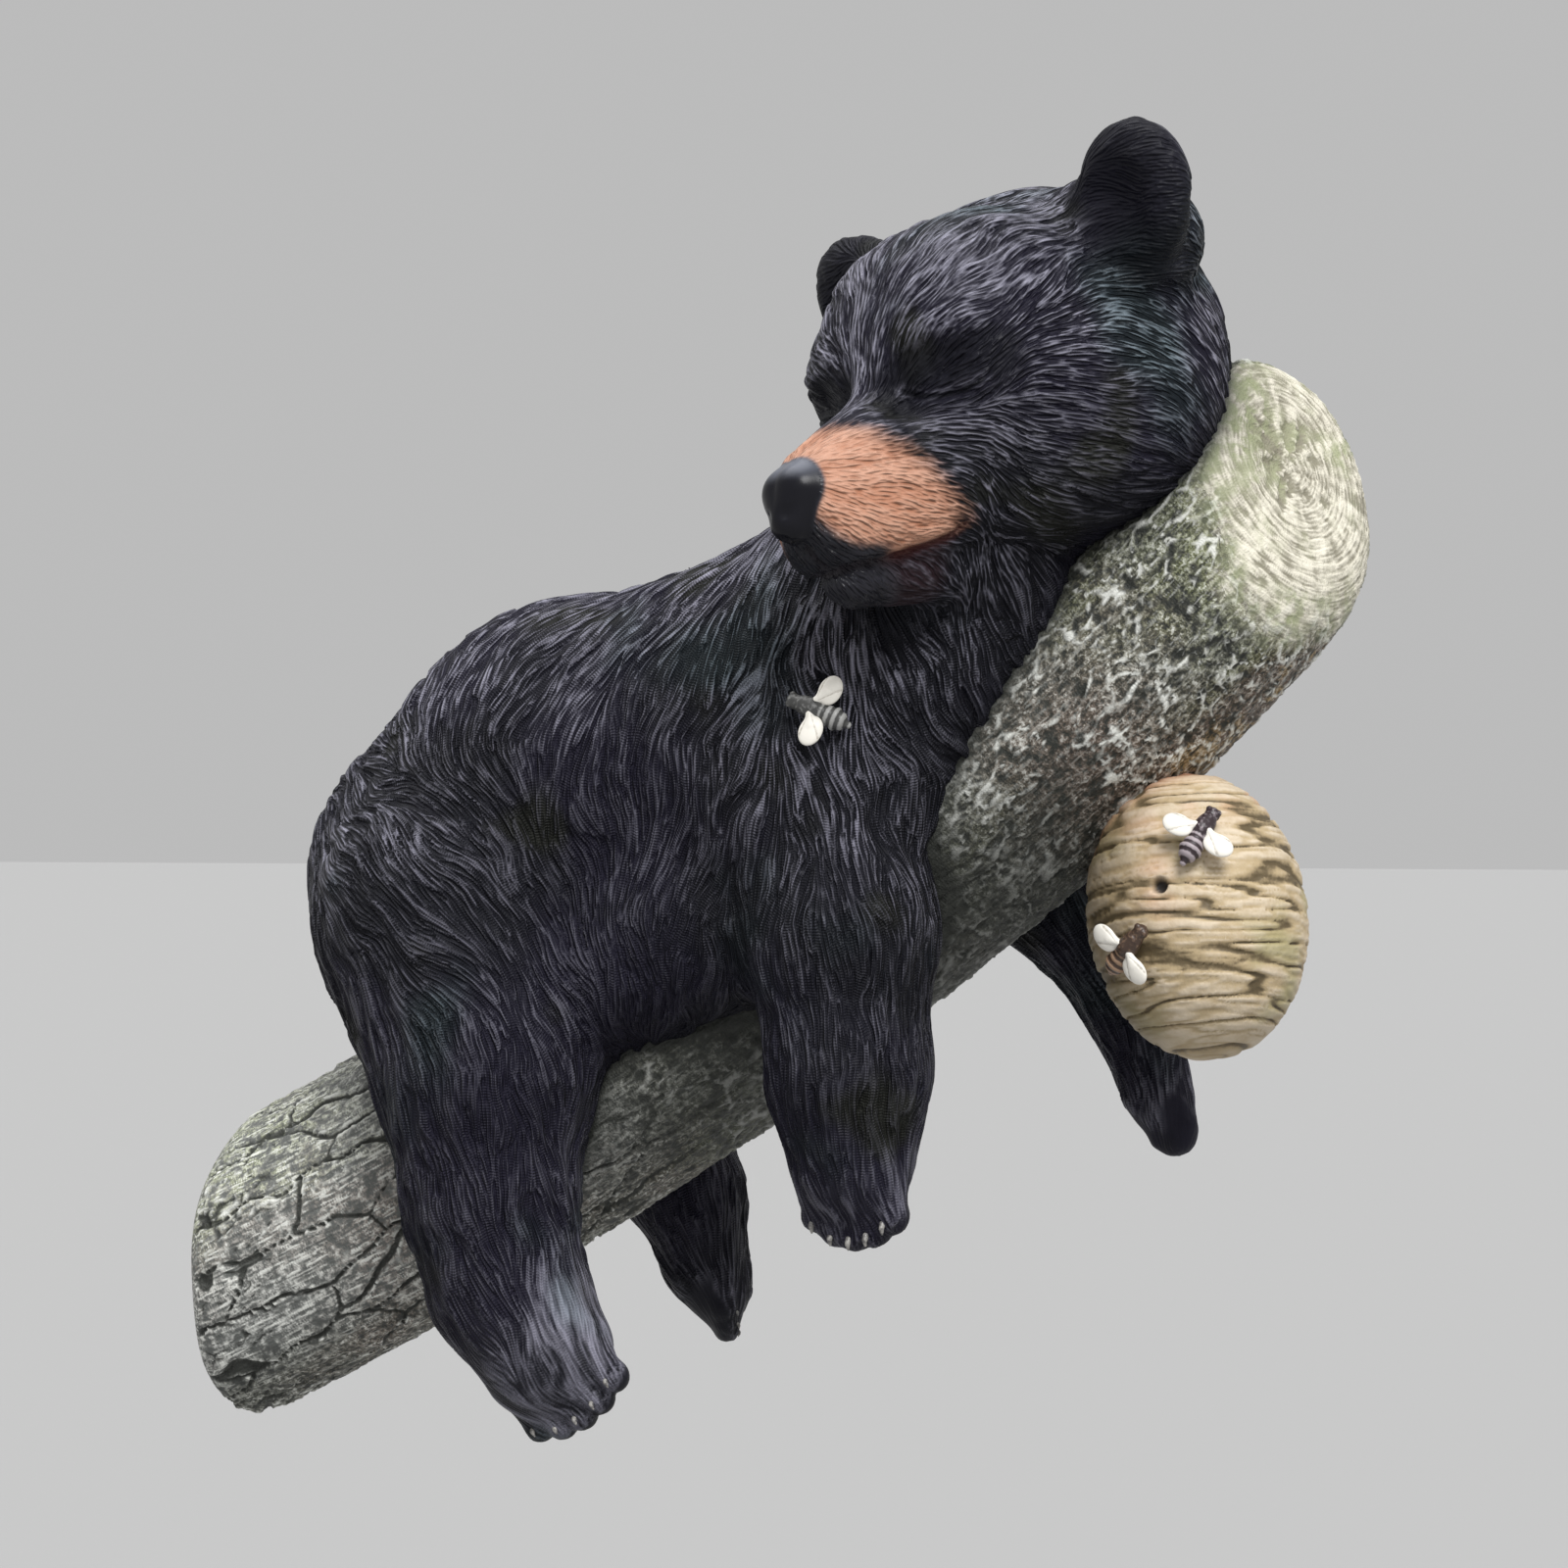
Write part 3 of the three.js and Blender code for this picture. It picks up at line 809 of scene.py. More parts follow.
@dataclass
class Head:
    """The cub's head, in its own axes: forward out of the muzzle, to its left ear, up."""

    centre: Triple = (226.5, -5, 230)
    yaw: float = math.radians(27)
    pitch: float = math.radians(16)
    roll: float = math.radians(12)
    skull: tuple[Joint, ...] = ((1, 0, 2, 45.5), (18, 0, 4, 43))
    cheek: tuple[Joint, ...] = ((8, 22, -16, 26), (34, 15, -20, 17))
    brow: tuple[Joint, ...] = ((28, 14, 24, 18), (44, 20, 16, 12))
    muzzle: tuple[Joint, ...] = ((46, 0, -10, 25), (84, 0, -9.5, 14))
    lips: tuple[Joint, ...] = ((58, 8, -19, 13), (86, 4, -18, 11))
    jaw: tuple[Joint, ...] = ((40, 0, -32, 14), (87, 0, -30, 7))
    nose: tuple[Joint, ...] = ((94.5, 2, -6.2, 7.0), (98.8, 0, -12, 5.5))
    nostril: tuple[Joint, ...] = ((103.5, 3.4, -9.5, 1.4), (101, 8.6, -8.5, 1.0))
    lids: tuple[Joint, ...] = ((51, 14, 8, 7), (47, 22, 6.5, 6.5))
    hollow: tuple[Joint, ...] = ((62.5, 14, 9.5, 6), (59.5, 24, 9, 6))
    ear_centre: Triple = (2, 49.5, 34)
    ear_tilt: float = math.radians(40)
    ear_radii: Triple = (8.5, 16.5, 20)
    ear_cup_forward: float = 11.5
    ear_cup_radii: Triple = (8, 12, 14.5)
    ear_root: tuple[Joint, ...] = ((-4, 34, 32, 12), (-6, 44, 24, 12))
    lid_line: Line = ((9.5, 8.6), (14, 6.0), (19.5, 4.4), (25, 3.8), (29, 4.4))
    mouth_line: Line = ((59, -26), (66, -28.5), (84, -28.5), (98, -26.5), (104, -26))
    eye: tuple[Joint, ...] = ((57, 10, 9, 7), (50, 35, 8.5, 6.5))
    lid_width: float = 1.4
    mouth_width: float = 1.0
    cleft_width: float = 0.8

    def __post_init__(self) -> None:
        """Work out the head's axes."""
        turn = Matrix.Rotation(-self.yaw, 3, "Z") @ Matrix.Rotation(self.pitch, 3, "X")
        turn = turn @ Matrix.Rotation(-self.roll, 3, "Y")
        columns = [turn @ Vector(v) for v in ((0, -1, 0), (1, 0, 0), (0, 0, 1))]
        self.axes = np.array(columns, float).T

    def inside(self, p: Points) -> Points:
        """Points in the head's own axes, its two sides folded together.

        Args:
            p: Points in the frame's axes, one a row.

        Returns:
            The same points in the head's axes.
        """
        q = (p - np.array(self.centre)) @ self.axes
        q[:, 1] = np.abs(q[:, 1])
        return q

    def outside(self, q: Sequence[float]) -> Triple:
        """A point of the head's axes in the frame's axes."""
        return tuple(np.array(self.centre) + self.axes @ np.array(q[:3], float))

    def cup(self, q: Points) -> Points:
        """Distance to the hollow of the ear.

        Args:
            q: Points in the head's axes, one a row.

        Returns:
            One distance a point, negative inside.
        """
        in_ear = turned(q - np.array(self.ear_centre), self.ear_tilt)
        in_cup = in_ear - np.array((self.ear_cup_forward, 0, 0))
        return egg(in_cup, self.ear_cup_radii)

    def ears(self, q: Points) -> Points:
        """Distance to the ears alone, for points in the head's axes."""
        return egg(turned(q - np.array(self.ear_centre), self.ear_tilt), self.ear_radii)

    def distance(self, p: Points) -> Points:
        """Distance to the head.

        Args:
            p: Points, one a row, in millimetres.

        Returns:
            One distance a point, negative inside.
        """
        q = self.inside(p)
        d = bone(q, *self.skull)
        d = join(d, bone(q, *self.cheek), 14)
        d = join(d, bone(q, *self.brow), 10)
        d = join(d, bone(q, *self.muzzle), 10)
        d = join(d, bone(q, *self.lips), 6)
        d = carve(d, bone(q, *self.hollow), 9)
        d = join(d, bone(q, *self.lids), 6)
        d = join(d, bone(q, *self.jaw), 3)
        d = join(d, bone(q, *self.nose), 2.5)
        d = carve(d, bone(q, *self.nostril), 1.5)
        d = join(d, bone(q, *self.ear_root), 10)
        return join(d, carve(self.ears(q), self.cup(q), 4), 5)

    def blank(self, bm: bmesh.types.BMesh) -> None:
        """Add the head's rough balls and cones.

        Args:
            bm: The cub's blank.
        """
        rows = (self.skull, self.cheek, self.brow, self.muzzle, self.lips, self.jaw, self.nose, self.ear_root)
        for side, pair in product((1, -1), rows):
            add_bone(bm, *[(*self.outside((q[0], side * q[1], q[2])), q[3]) for q in pair])
        thick, wide, tall = self.ear_radii
        across, up = (0, wide - thick, 0), (0, 0, tall - thick)
        ends = np.array((across, np.negative(across), up, np.negative(up)))
        for side, end in product((1, -1), turned(ends, -self.ear_tilt) + np.array(self.ear_centre)):
            places = (self.ear_centre, tuple(end))
            add_bone(bm, *[(*self.outside((x, side * y, z)), thick) for x, y, z in places])

    def lines(self, p: Points) -> tuple[Points, Points]:
        """How deep a point lies in the line of the shut lids, and of the mouth, from 0 to 1.

        Args:
            p: Points, one a row, in millimetres.

        Returns:
            One value a point for the lids, and one for the mouth.
        """
        q = self.inside(p)
        lid = bell(near_line(q[:, 1:], self.lid_line), self.lid_width) * ease(q[:, 0], 40, 46)
        side_view = q[:, [0, 2]]
        mouth = bell(near_line(side_view, self.mouth_line), self.mouth_width)
        cleft = bell(q[:, 1], self.cleft_width) * ease(-q[:, 2], 14, 16) * ease(q[:, 2], -27, -25)
        return lid, np.maximum(mouth, cleft * ease(q[:, 0], 88, 92))


@dataclass
class Paw:
    """The toes of one foot, spread in a shallow fan, each with a small claw."""

    root: Triple
    point: Triple
    spread: Triple
    width: float
    length: float
    radius: float
    toes: int = 5

    def bones(self) -> list[tuple[Joint, Joint]]:
        """The bone of each toe.

        Returns:
            The two ends of each bone, toe by toe.
        """
        root, point, spread = (np.array(v, float) for v in (self.root, self.point, self.spread))
        found = []
        for toe in range(self.toes):
            share = toe / (self.toes - 1) - 0.5
            start = root + spread * share * self.width * 0.7
            tip = root + spread * share * self.width + point * self.length * (1 - 1.6 * share * share)
            found.append(((*start, self.radius), (*tip, self.radius * 0.8)))
        return found

    @property
    def back(self) -> Points:
        """The way that the back of the paw faces, outwards from the branch.

        Returns:
            The direction, one long.
        """
        across = np.cross(self.spread, self.point)
        across *= np.sign(across[1]) * np.sign(self.root[1])
        return across / np.linalg.norm(across)

    def claws(self) -> list[tuple[Joint, Joint, Joint]]:
        """The bent bone of each claw, on the toe's end towards the back of the paw.

        Returns:
            The root, bend and end of each claw.
        """
        point = np.array(self.point, float)
        found = []
        for _, tip in self.bones():
            root = np.array(tip[:3]) + (self.back * 0.85 + point * 0.25) * tip[3]
            bend = root + (self.back * 0.16 + point * 0.22) * tip[3]
            end = bend + (point * 0.30 - self.back * 0.04) * tip[3]
            found.append(((*root, 0.17 * tip[3]), (*bend, 0.15 * tip[3]), (*end, 0.07 * tip[3])))
        return found

    def distance(self, p: Points) -> Points:
        """Distance to the toes.

        Args:
            p: Points, one a row, in millimetres.

        Returns:
            One distance a point, negative inside.
        """
        bones = self.bones()
        d = bone(p, *bones[0])
        for pair in bones[1:]:
            d = join(d, bone(p, *pair), 1.6)
        return d

    def sole(self, p: Points) -> Points:
        """How far a point is under the toes' ends, from 0 on the fur to 1 on the pads.

        Args:
            p: Points, one a row, in millimetres.

        Returns:
            One share a point.
        """
        out = p - np.array(self.root, float)
        point = np.array(self.point, float)
        past = out @ (point / np.linalg.norm(point)) - 1.4 * (out @ self.back)
        share = out @ np.array(self.spread, float) / self.width
        level = self.length * (1 - 1.6 * share * share) + 0.6 * self.radius
        near = ease(-self.distance(p), -7, -3)
        return near * ease(past - level, -1.0, 1.0)


@dataclass(frozen=True)
class Cut:
    """A flat end of one share of the cub, tucked just under the skin of the next share."""

    point: Triple
    outward: Triple
    overlap: float = 2.4
    tuck: float = 0.45

    def past(self, p: Points) -> Points:
        """How far points are past the cut, in millimetres."""
        outward = np.array(self.outward, float)
        return (p - np.array(self.point, float)) @ (outward / np.linalg.norm(outward))

    def trim(self, p: Points, d: Points) -> Points:
        """A distance that ends at the cut.

        Args:
            p: Points, one a row, in millimetres.
            d: The distance to the whole cub at each point.

        Returns:
            The distance to the share on this side of the cut.
        """
        past = self.past(p)
        tucked = d + self.tuck * ease(past, self.overlap - 2.0, self.overlap)
        return np.maximum(tucked, past - self.overlap)

    def saw(self, bm: bmesh.types.BMesh) -> None:
        """Cut a blank, and close it.

        Args:
            bm: The blank.
        """
        outward = Vector(self.outward).normalized()
        point = Vector(self.point) + outward * self.overlap
        geometry = [*bm.verts, *bm.edges, *bm.faces]
        bmesh.ops.bisect_plane(bm, geom=geometry, plane_co=point, plane_no=outward, clear_outer=True)
        bmesh.ops.holes_fill(bm, edges=[e for e in bm.edges if e.is_boundary])


@dataclass
class Cub:
    """The cub: spine, flanks, chest, four hanging legs and the head."""

    spine: tuple[Joint, ...] = (
        (69, 0, 104, 44), (98, 0, 127, 46), (148, -2, 138, 45), (170, -4, 146, 43), (206, -5, 191, 37.5),
    )
    chest: tuple[Joint, ...] = ((178, -16, 136, 34), (210, -14, 180, 30))
    flank: tuple[Joint, ...] = ((104, 28, 76, 22), (150, 31, 94, 22))
    legs: tuple[tuple[Joint, ...], ...] = (
        ((75, -25, 93, 38), (89, -43, 54, 26), (92, -47, 24, 20.5), (97, -48, 3, 18), (108, -50, -13, 17)),
        ((78, 28, 92, 36), (91, 44, 50, 24), (109, 48, 20, 13.5), (113, 49, 3, 9.5), (116.5, 50, -5, 8.5)),
        ((170, -30, 126, 29), (183, -42, 92, 22.5), (187, -47, 58, 18.5), (188, -47, 38, 15.5)),
        ((180, 30, 130, 27), (212, 44, 100, 15), (232, 46, 72, 10.5), (238, 47, 50, 9)),
    )
    paws: tuple[Paw, ...] = (
        Paw((115, -52, -20), (0.5, -0.25, -0.83), (0.83, -0.2, 0.52), 26, 9, 5.2),
        Paw((117, 50, -8), (0.30, -0.2, -0.93), (0.35, -0.85, 0.40), 13, 8, 3.8),
        Paw((189, -49, 29), (0.05, 0.1, -0.99), (0.98, -0.2, 0.02), 20, 10, 6),
        Paw((241, 46, 44), (0.4, -0.1, -0.9), (0.8, -0.4, 0.4), 9, 8, 4.2),
    )
    head: Head = field(default_factory=Head)
    neck_cut: Cut = Cut((208, -5, 198), (-0.35, 0.55, -0.75))
    waist_cut: Cut = Cut((128, 0, 120), (1, 0, 0))
    blank_skin: float = 2.2
    head_skin: float = 0.86
    body_skin: float = 1.06
    claw_skin: float = 0.24

    def distance(self, p: Points) -> Points:
        """Distance to the cub without its fur.

        Args:
            p: Points, one a row, in millimetres.

        Returns:
            One distance a point, negative inside.
        """
        d = limb(p, self.spine, 14)
        d = join(d, limb(folded(p), self.flank, 8), 16)
        d = join(d, limb(p, self.chest, 8), 12)
        for leg, paw in zip(self.legs, self.paws):
            d = join(d, join(limb(p, leg, 8), paw.distance(p), 5), 9)
        return join(d, self.head.distance(p), 9)

    def blank(self) -> bmesh.types.BMesh:
        """The rough shape: a ball at each joint and a cone along each bone.

        Returns:
            The rough shape, in millimetres.
        """
        bm = bmesh.new()
        mirrored = tuple((x, -y, z, r) for x, y, z, r in self.flank)
        for row in (self.spine, self.chest, self.flank, mirrored, *self.legs):
            for pair in zip(row, row[1:]):
                add_bone(bm, *pair)
        for paw in self.paws:
            for pair in paw.bones():
                add_bone(bm, *pair)
        self.head.blank(bm)
        return bm

    def shares(self) -> list[tuple[str, float, list[Cut]]]:
        """The cub's skin is worked in three shares: name, size of its squares, and cuts.

        Returns:
            The shares, from the head back.
        """
        def other(cut: Cut) -> Cut:
            """The same cut seen from the other share."""
            return Cut(cut.point, tuple(-v for v in cut.outward))
        return [
            ("cub_head", self.head_skin, [self.neck_cut]),
            ("cub_forequarters", self.body_skin, [other(self.neck_cut), other(self.waist_cut)]),
            ("cub_hindquarters", self.body_skin, [self.waist_cut]),
        ]

    def build(self, finish: FurFinish, wood: Field) -> list[bpy.types.Object]:
        """Model the cub, comb its fur and paint it.

        Args:
            finish: The paint.
            wood: Distance to the branch, for the shade where the cub lies on it.

        Returns:
            The pieces of its skin.
        """
        body = Clay.from_bmesh("cub_body", self.blank())
        body.voxels(self.blank_skin)
        body.settle(self.distance, 4)
        coat = Coat(self, wood)
        material = finish.material()
        pieces = []
        for name, size, cuts in self.shares():
            bm = bmesh.new()
            bm.from_mesh(body.mesh)
            bmesh.ops.transform(bm, matrix=Matrix.Scale(1 / MM, 4), verts=bm.verts)
            for cut in cuts:
                cut.saw(bm)
            clay = Clay.from_bmesh(name, bm)

            def trimmed(p: Points) -> Points:
                """Distance to this share.

                Args:
                    p: Points, one a row, in millimetres.

                Returns:
                    One distance a point, negative inside.
                """
                d = self.distance(p)
                for cut in cuts:
                    d = cut.trim(p, d)
                return d

            clay.mould(trimmed, size)
            coat.comb(clay)
            pieces.append(clay.finish(material, Slot.FUR, CASTING))
        pieces.append(self.build_claws())
        return pieces

    def build_claws(self) -> bpy.types.Object:
        """Model the small bent claws of the four paws.

        Returns:
            The claws, as one piece.
        """
        claws = [claw for paw in self.paws for claw in paw.claws()]
        bm = bmesh.new()
        for claw in claws:
            for pair in zip(claw, claw[1:]):
                add_bone(bm, *pair)
        clay = Clay.from_bmesh("claws", bm)
        clay.voxels(self.claw_skin)
        clay.relax(0.6)
        return clay.finish(ClawFinish().material(), Slot.FUR, CASTING)


@dataclass
class Areas:
    """How far each point of the cub's skin belongs to the areas that differ, from 0 to 1."""

    head: Points
    muzzle: Points
    nose: Points
    front: Points
    ears: Points
    feet: Points
    soles: Points
    lid: Points
    mouth: Points
    jaw: Points
    eye: Points
    forehead: Points

    @classmethod
    def of(cls, cub: Cub, p: Points) -> "Areas":
        """Find the areas that each point of the skin lies in.

        Args:
            cub: The cub.
            p: Points, one a row, in millimetres.

        Returns:
            The areas.
        """
        head = cub.head
        q = head.inside(p)
        within = ease(-head.distance(p), -4.0, -1.0)
        below = np.maximum(-q[:, 2] - 14, 0)
        front = within * ease(q[:, 0] + 0.35 * below, 84, 91) * ease(0.55 * below - q[:, 1], -10.0, -5.0)
        ears = ease(-head.ears(q), -5.0, 0.5) * ease(q[:, 0], -4, 3)
        hind, *others = (paw.distance(p) for paw in cub.paws)
        lid, mouth = (within * line for line in head.lines(p))
        eye = within * ease(-bone(q, *head.eye), -5, 2)
        return cls(
            head=within,
            muzzle=within * ease(q[:, 0], 52, 72),
            nose=within * ease(-bone(q, *head.nose), -1.6, -0.5),
            front=front * ease(-q[:, 2], 12, 15),
            ears=ears,
            feet=np.maximum(ease(-hind, -32, -8), 0.6 * ease(-np.min(others, axis=0), -12, -1)),
            soles=np.max([paw.sole(p) for paw in cub.paws], axis=0),
            lid=lid,
            mouth=mouth * ease(q[:, 0], 58, 66),
            jaw=within * ease(-q[:, 2], 28.5, 30) * ease(q[:, 0], 62, 70),
            eye=eye,
            forehead=within * ease(q[:, 2], 10, 26) * ease(q[:, 0], -8, 24) * spare((1, ears), (1, eye)),
        )

    @property
    def rim(self) -> Points:
        """The two edges of the line of the shut lids."""
        return 4 * self.lid * (1 - self.lid)


@dataclass
class Coat:
    """How the fur lies on the cub, and how it stands in relief."""

    cub: Cub
    wood: Field
    seed: int = 7

    # Where the fur lies which way on the body's sides: x, z and the heading in degrees,
    # from +X towards +Z.
    MARKS = (
        (165, 165, 255), (130, 170, 238), (105, 156, 228), (83, 146, 262), (67, 146, 300), (45, 130, 320),
        (60, 127, 352), (83, 119, 325), (42, 107, 330), (60, 93, 322), (88, 103, 315), (73, 79, 305),
        (88, 79, 340), (119, 132, 262), (106, 117, 290), (129, 117, 277), (124, 98, 290), (140, 103, 250),
        (155, 132, 250), (155, 112, 238), (186, 156, 285), (201, 136, 305), (191, 122, 295), (211, 156, 310),
        (25, 95, 290), (35, 70, 280),
    )
    MARK_REACH = 11.0
    # The widths of a strand and of a lock, and how far they are drawn out.
    WIDTHS = (1.8, 3.0)
    REACH = 7.0
    STEPS = 6
    RAISED = 0.85
    NAPE = (-0.3, 0.0, -1.3)
    WAVE = 9.0
    WAVINESS = 0.5
    PARTING = (50.0, 0.0, 4.0)
    NOSE_TIP = (108.0, 0.0, 2.0)

    @property
    def waves(self) -> Grit:
        """The noise that the fur's direction wanders with."""
        return Grit(self.seed + 5)

    def flow(self, p: Points, normals: Points) -> Points:
        """The way the fur lies at each point, as unit vectors along the surface.

        Args:
            p: Points on the skin.
            normals: Their outward directions.

        Returns:
            One direction a point.
        """
        marks = np.array(self.MARKS, float)
        angle = np.radians(marks[:, 2])
        gap2 = (p[:, None, 0] - marks[:, 0]) ** 2 + (p[:, None, 2] - marks[:, 1]) ** 2
        weight = 1 / (gap2 + self.MARK_REACH**2) ** 2
        weight /= weight.sum(1)[:, None]
        side = np.sign(p[:, 1]) * np.clip(normals[:, 2], 0, 1)
        way = np.stack([weight @ np.cos(angle), 0.6 * side, weight @ np.sin(angle)], 1)
        for leg in self.cub.legs:
            for a, b in zip(leg[1:], leg[2:]):
                axis = np.array(b[:3], float) - np.array(a[:3], float)
                way += 4 * glow(bone(p, a, b), 3.0)[:, None] * axis / np.linalg.norm(axis)
        head = self.cub.head
        q = (p - np.array(head.centre)) @ head.axes
        near = glow(head.distance(p) - 0.5, 4.0)[:, None]
        on_muzzle = ease(q[:, :1], 52, 72)
        source = np.array(self.PARTING) * (1 - on_muzzle) + np.array(self.NOSE_TIP) * on_muzzle
        away = unit(q - source, 1.0) + np.outer(ease(-q[:, 0], -22, 8), self.NAPE)
        way = unit(way * (1 - near) + 3 * near * unit(away @ head.axes.T))
        waves = np.stack([self.waves.smooth(p + 40.0 * n, self.WAVE) for n in range(3)], 1)
        way += self.WAVINESS * (1 - 0.5 * near) * waves
        return unit(way - normals * (way * normals).sum(1)[:, None])

    def combed(self, p: Points, normals: Points, way: Points) -> list[Points]:
        """Noise drawn out along the fur.

        Args:
            p: Points on the skin.
            normals: Their outward directions.
            way: The way the fur lies there.

        Returns:
            One value a point for each width, with a spread of about 1.
        """
        ends = [self.flow(p + side * way * self.REACH * 0.6, normals) for side in (1, -1)]
        bend = (ends[0] - ends[1]) / (1.2 * self.REACH)
        grit = Grit(self.seed)
        totals = [np.zeros(len(p)) for _ in self.WIDTHS]
        weight2 = 0.0
        for step in range(-self.STEPS, self.STEPS + 1):
            along = self.REACH * step / self.STEPS
            fade = math.cos(0.5 * math.pi * step / (self.STEPS + 1))
            weight2 += fade * fade
            at = p + along * way + 0.5 * along * along * bend
            for n, width in enumerate(self.WIDTHS):
                totals[n] += fade * grit.smooth(at + 31.0 * n, width)
        return [total / (0.33 * math.sqrt(weight2)) for total in totals]

    def tan(self, p: Points, on: Areas, tuft: Points) -> Points:
        """The tan muzzle, its edge feathered by the tufts, and kept off the nose and lips.

        Args:
            p: Points on the skin.
            on: The areas that they lie in.
            tuft: How raised the locks are.

        Returns:
            One share a point.
        """
        q = self.cub.head.inside(p)
        rise = q[:, 2] + 28
        edge = 64 + 0.2 * rise + 0.008 * rise**2
        area = on.head * ease(q[:, 0] + 0.6 * tuft - edge, -9.0, 8.0) * ease(q[:, 2], -29.5, -28.0)
        return area * spare((1, on.nose), (0.85, on.front))

    def shade(self, p: Points, on: Areas) -> Points:
        """Painted shade: dark round the eyes and in the lid line, and where the cub lies on the wood; darker
        on the ears too.
        """
        lids = 0.75 * on.eye * (1 - 0.8 * on.rim) + 0.6 * on.lid * (1 - on.rim)
        return lids + 0.5 * on.ears + 0.9 * glow(self.wood(p), 2.5)

    def brushed_and_lit(self, p: Points, normals: Points, on: Areas) -> Points:
        """Where the pale brush was dragged, with painted light and shade over it: more on what faces up,
        stands free and lies high, less in recesses and low down.

        Args:
            p: Points on the skin.
            normals: Their outward directions.
            on: The areas that they lie in.

        Returns:
            One share a point.
        """
        reach = 14.0
        out = p + reach * normals
        room = np.minimum(self.cub.distance(out), self.wood(out)) / reach
        patches = np.clip(0.95 + 0.9 * Grit(self.seed).lumps(p + 17.0, 30.0), 0.4, 1.5)
        # Painted light and shade: more where the skin faces up and has open room round it, painted shade in
        # recesses.
        free = (0.05 + 0.95 * ease(room, 0.25, 0.95)) * (0.36 + 0.74 * ease(normals[:, 2], -0.5, 0.7))
        # Painted shade: darker lower down on the cub.
        free *= (0.35 + 0.65 * ease(p[:, 2], 50, 150)) * patches
        free *= spare((0.9, on.soles), (0.8, on.front), (0.85, on.ears), (0.8, on.eye), (1, on.nose))
        # Painted highlight on the top of the nose, where it faces up.
        nose = 0.8 * on.nose * ease(normals[:, 2], 0.3, 0.95)
        # More on the feet and the forehead, which also stands in for the light that they catch; paler edges
        # to the lid line.
        return free + 0.55 * on.feet * (1 - on.soles) + 0.30 * on.forehead + nose + 0.5 * on.rim

    def comb(self, clay: Clay) -> None:
        """Raise the fur on the skin and store what the paint needs.

        Args:
            clay: A share of the skin, still smooth.
        """
        p, normals = clay.points, clay.normals
        on = Areas.of(self.cub, p)
        way = self.flow(p, normals)
        strand, lock = self.combed(p, normals, way)
        tuft = np.tanh(1.1 * lock)
        relief = 0.65 * np.tanh(1.2 * strand) + 0.35 * tuft
        bare = spare((1, on.nose), (0.8, on.soles))
        coat = bare * spare((0.25, on.head), (0.45, on.muzzle), (0.75, on.feet), (0.6, on.ears))
        raised = self.RAISED * coat * relief - 0.5 * on.lid - 1.1 * on.mouth
        clay.points = p + normals * raised[:, None]
        # Pale paint dusted over the feet, the forehead and the lid edges; on the feet and forehead it also
        # stands in for the light that falls on them.
        pale_dust_and_light = 0.65 * on.feet + 0.45 * on.forehead + 0.6 * on.rim
        sleek = spare((0.6, on.ears), (0.4, on.eye), (0.6, on.muzzle), (0.65, on.feet), (0.4, on.forehead))
        clay.lay("way", way * (1 - 0.45 * on.head - 0.2 * on.muzzle)[:, None])
        clay.paint("lock", (relief + pale_dust_and_light) * bare)
        clay.paint("coat", bare * sleek)
        clay.mask("tan", self.tan(p, on, tuft))
        clay.mask("nose", on.nose + 0.9 * on.front)
        clay.mask("mouth", on.mouth + 0.25 * on.jaw)
        # Painted shade round the eyes, in the lid line and where the cub lies on the wood.
        clay.mask("shade", self.shade(p, on))
        # The pale brush share, with painted light and shade in it.
        clay.mask("brushed_and_lit", self.brushed_and_lit(p, normals, on))


# ------------------------------------------------------------------ the branch


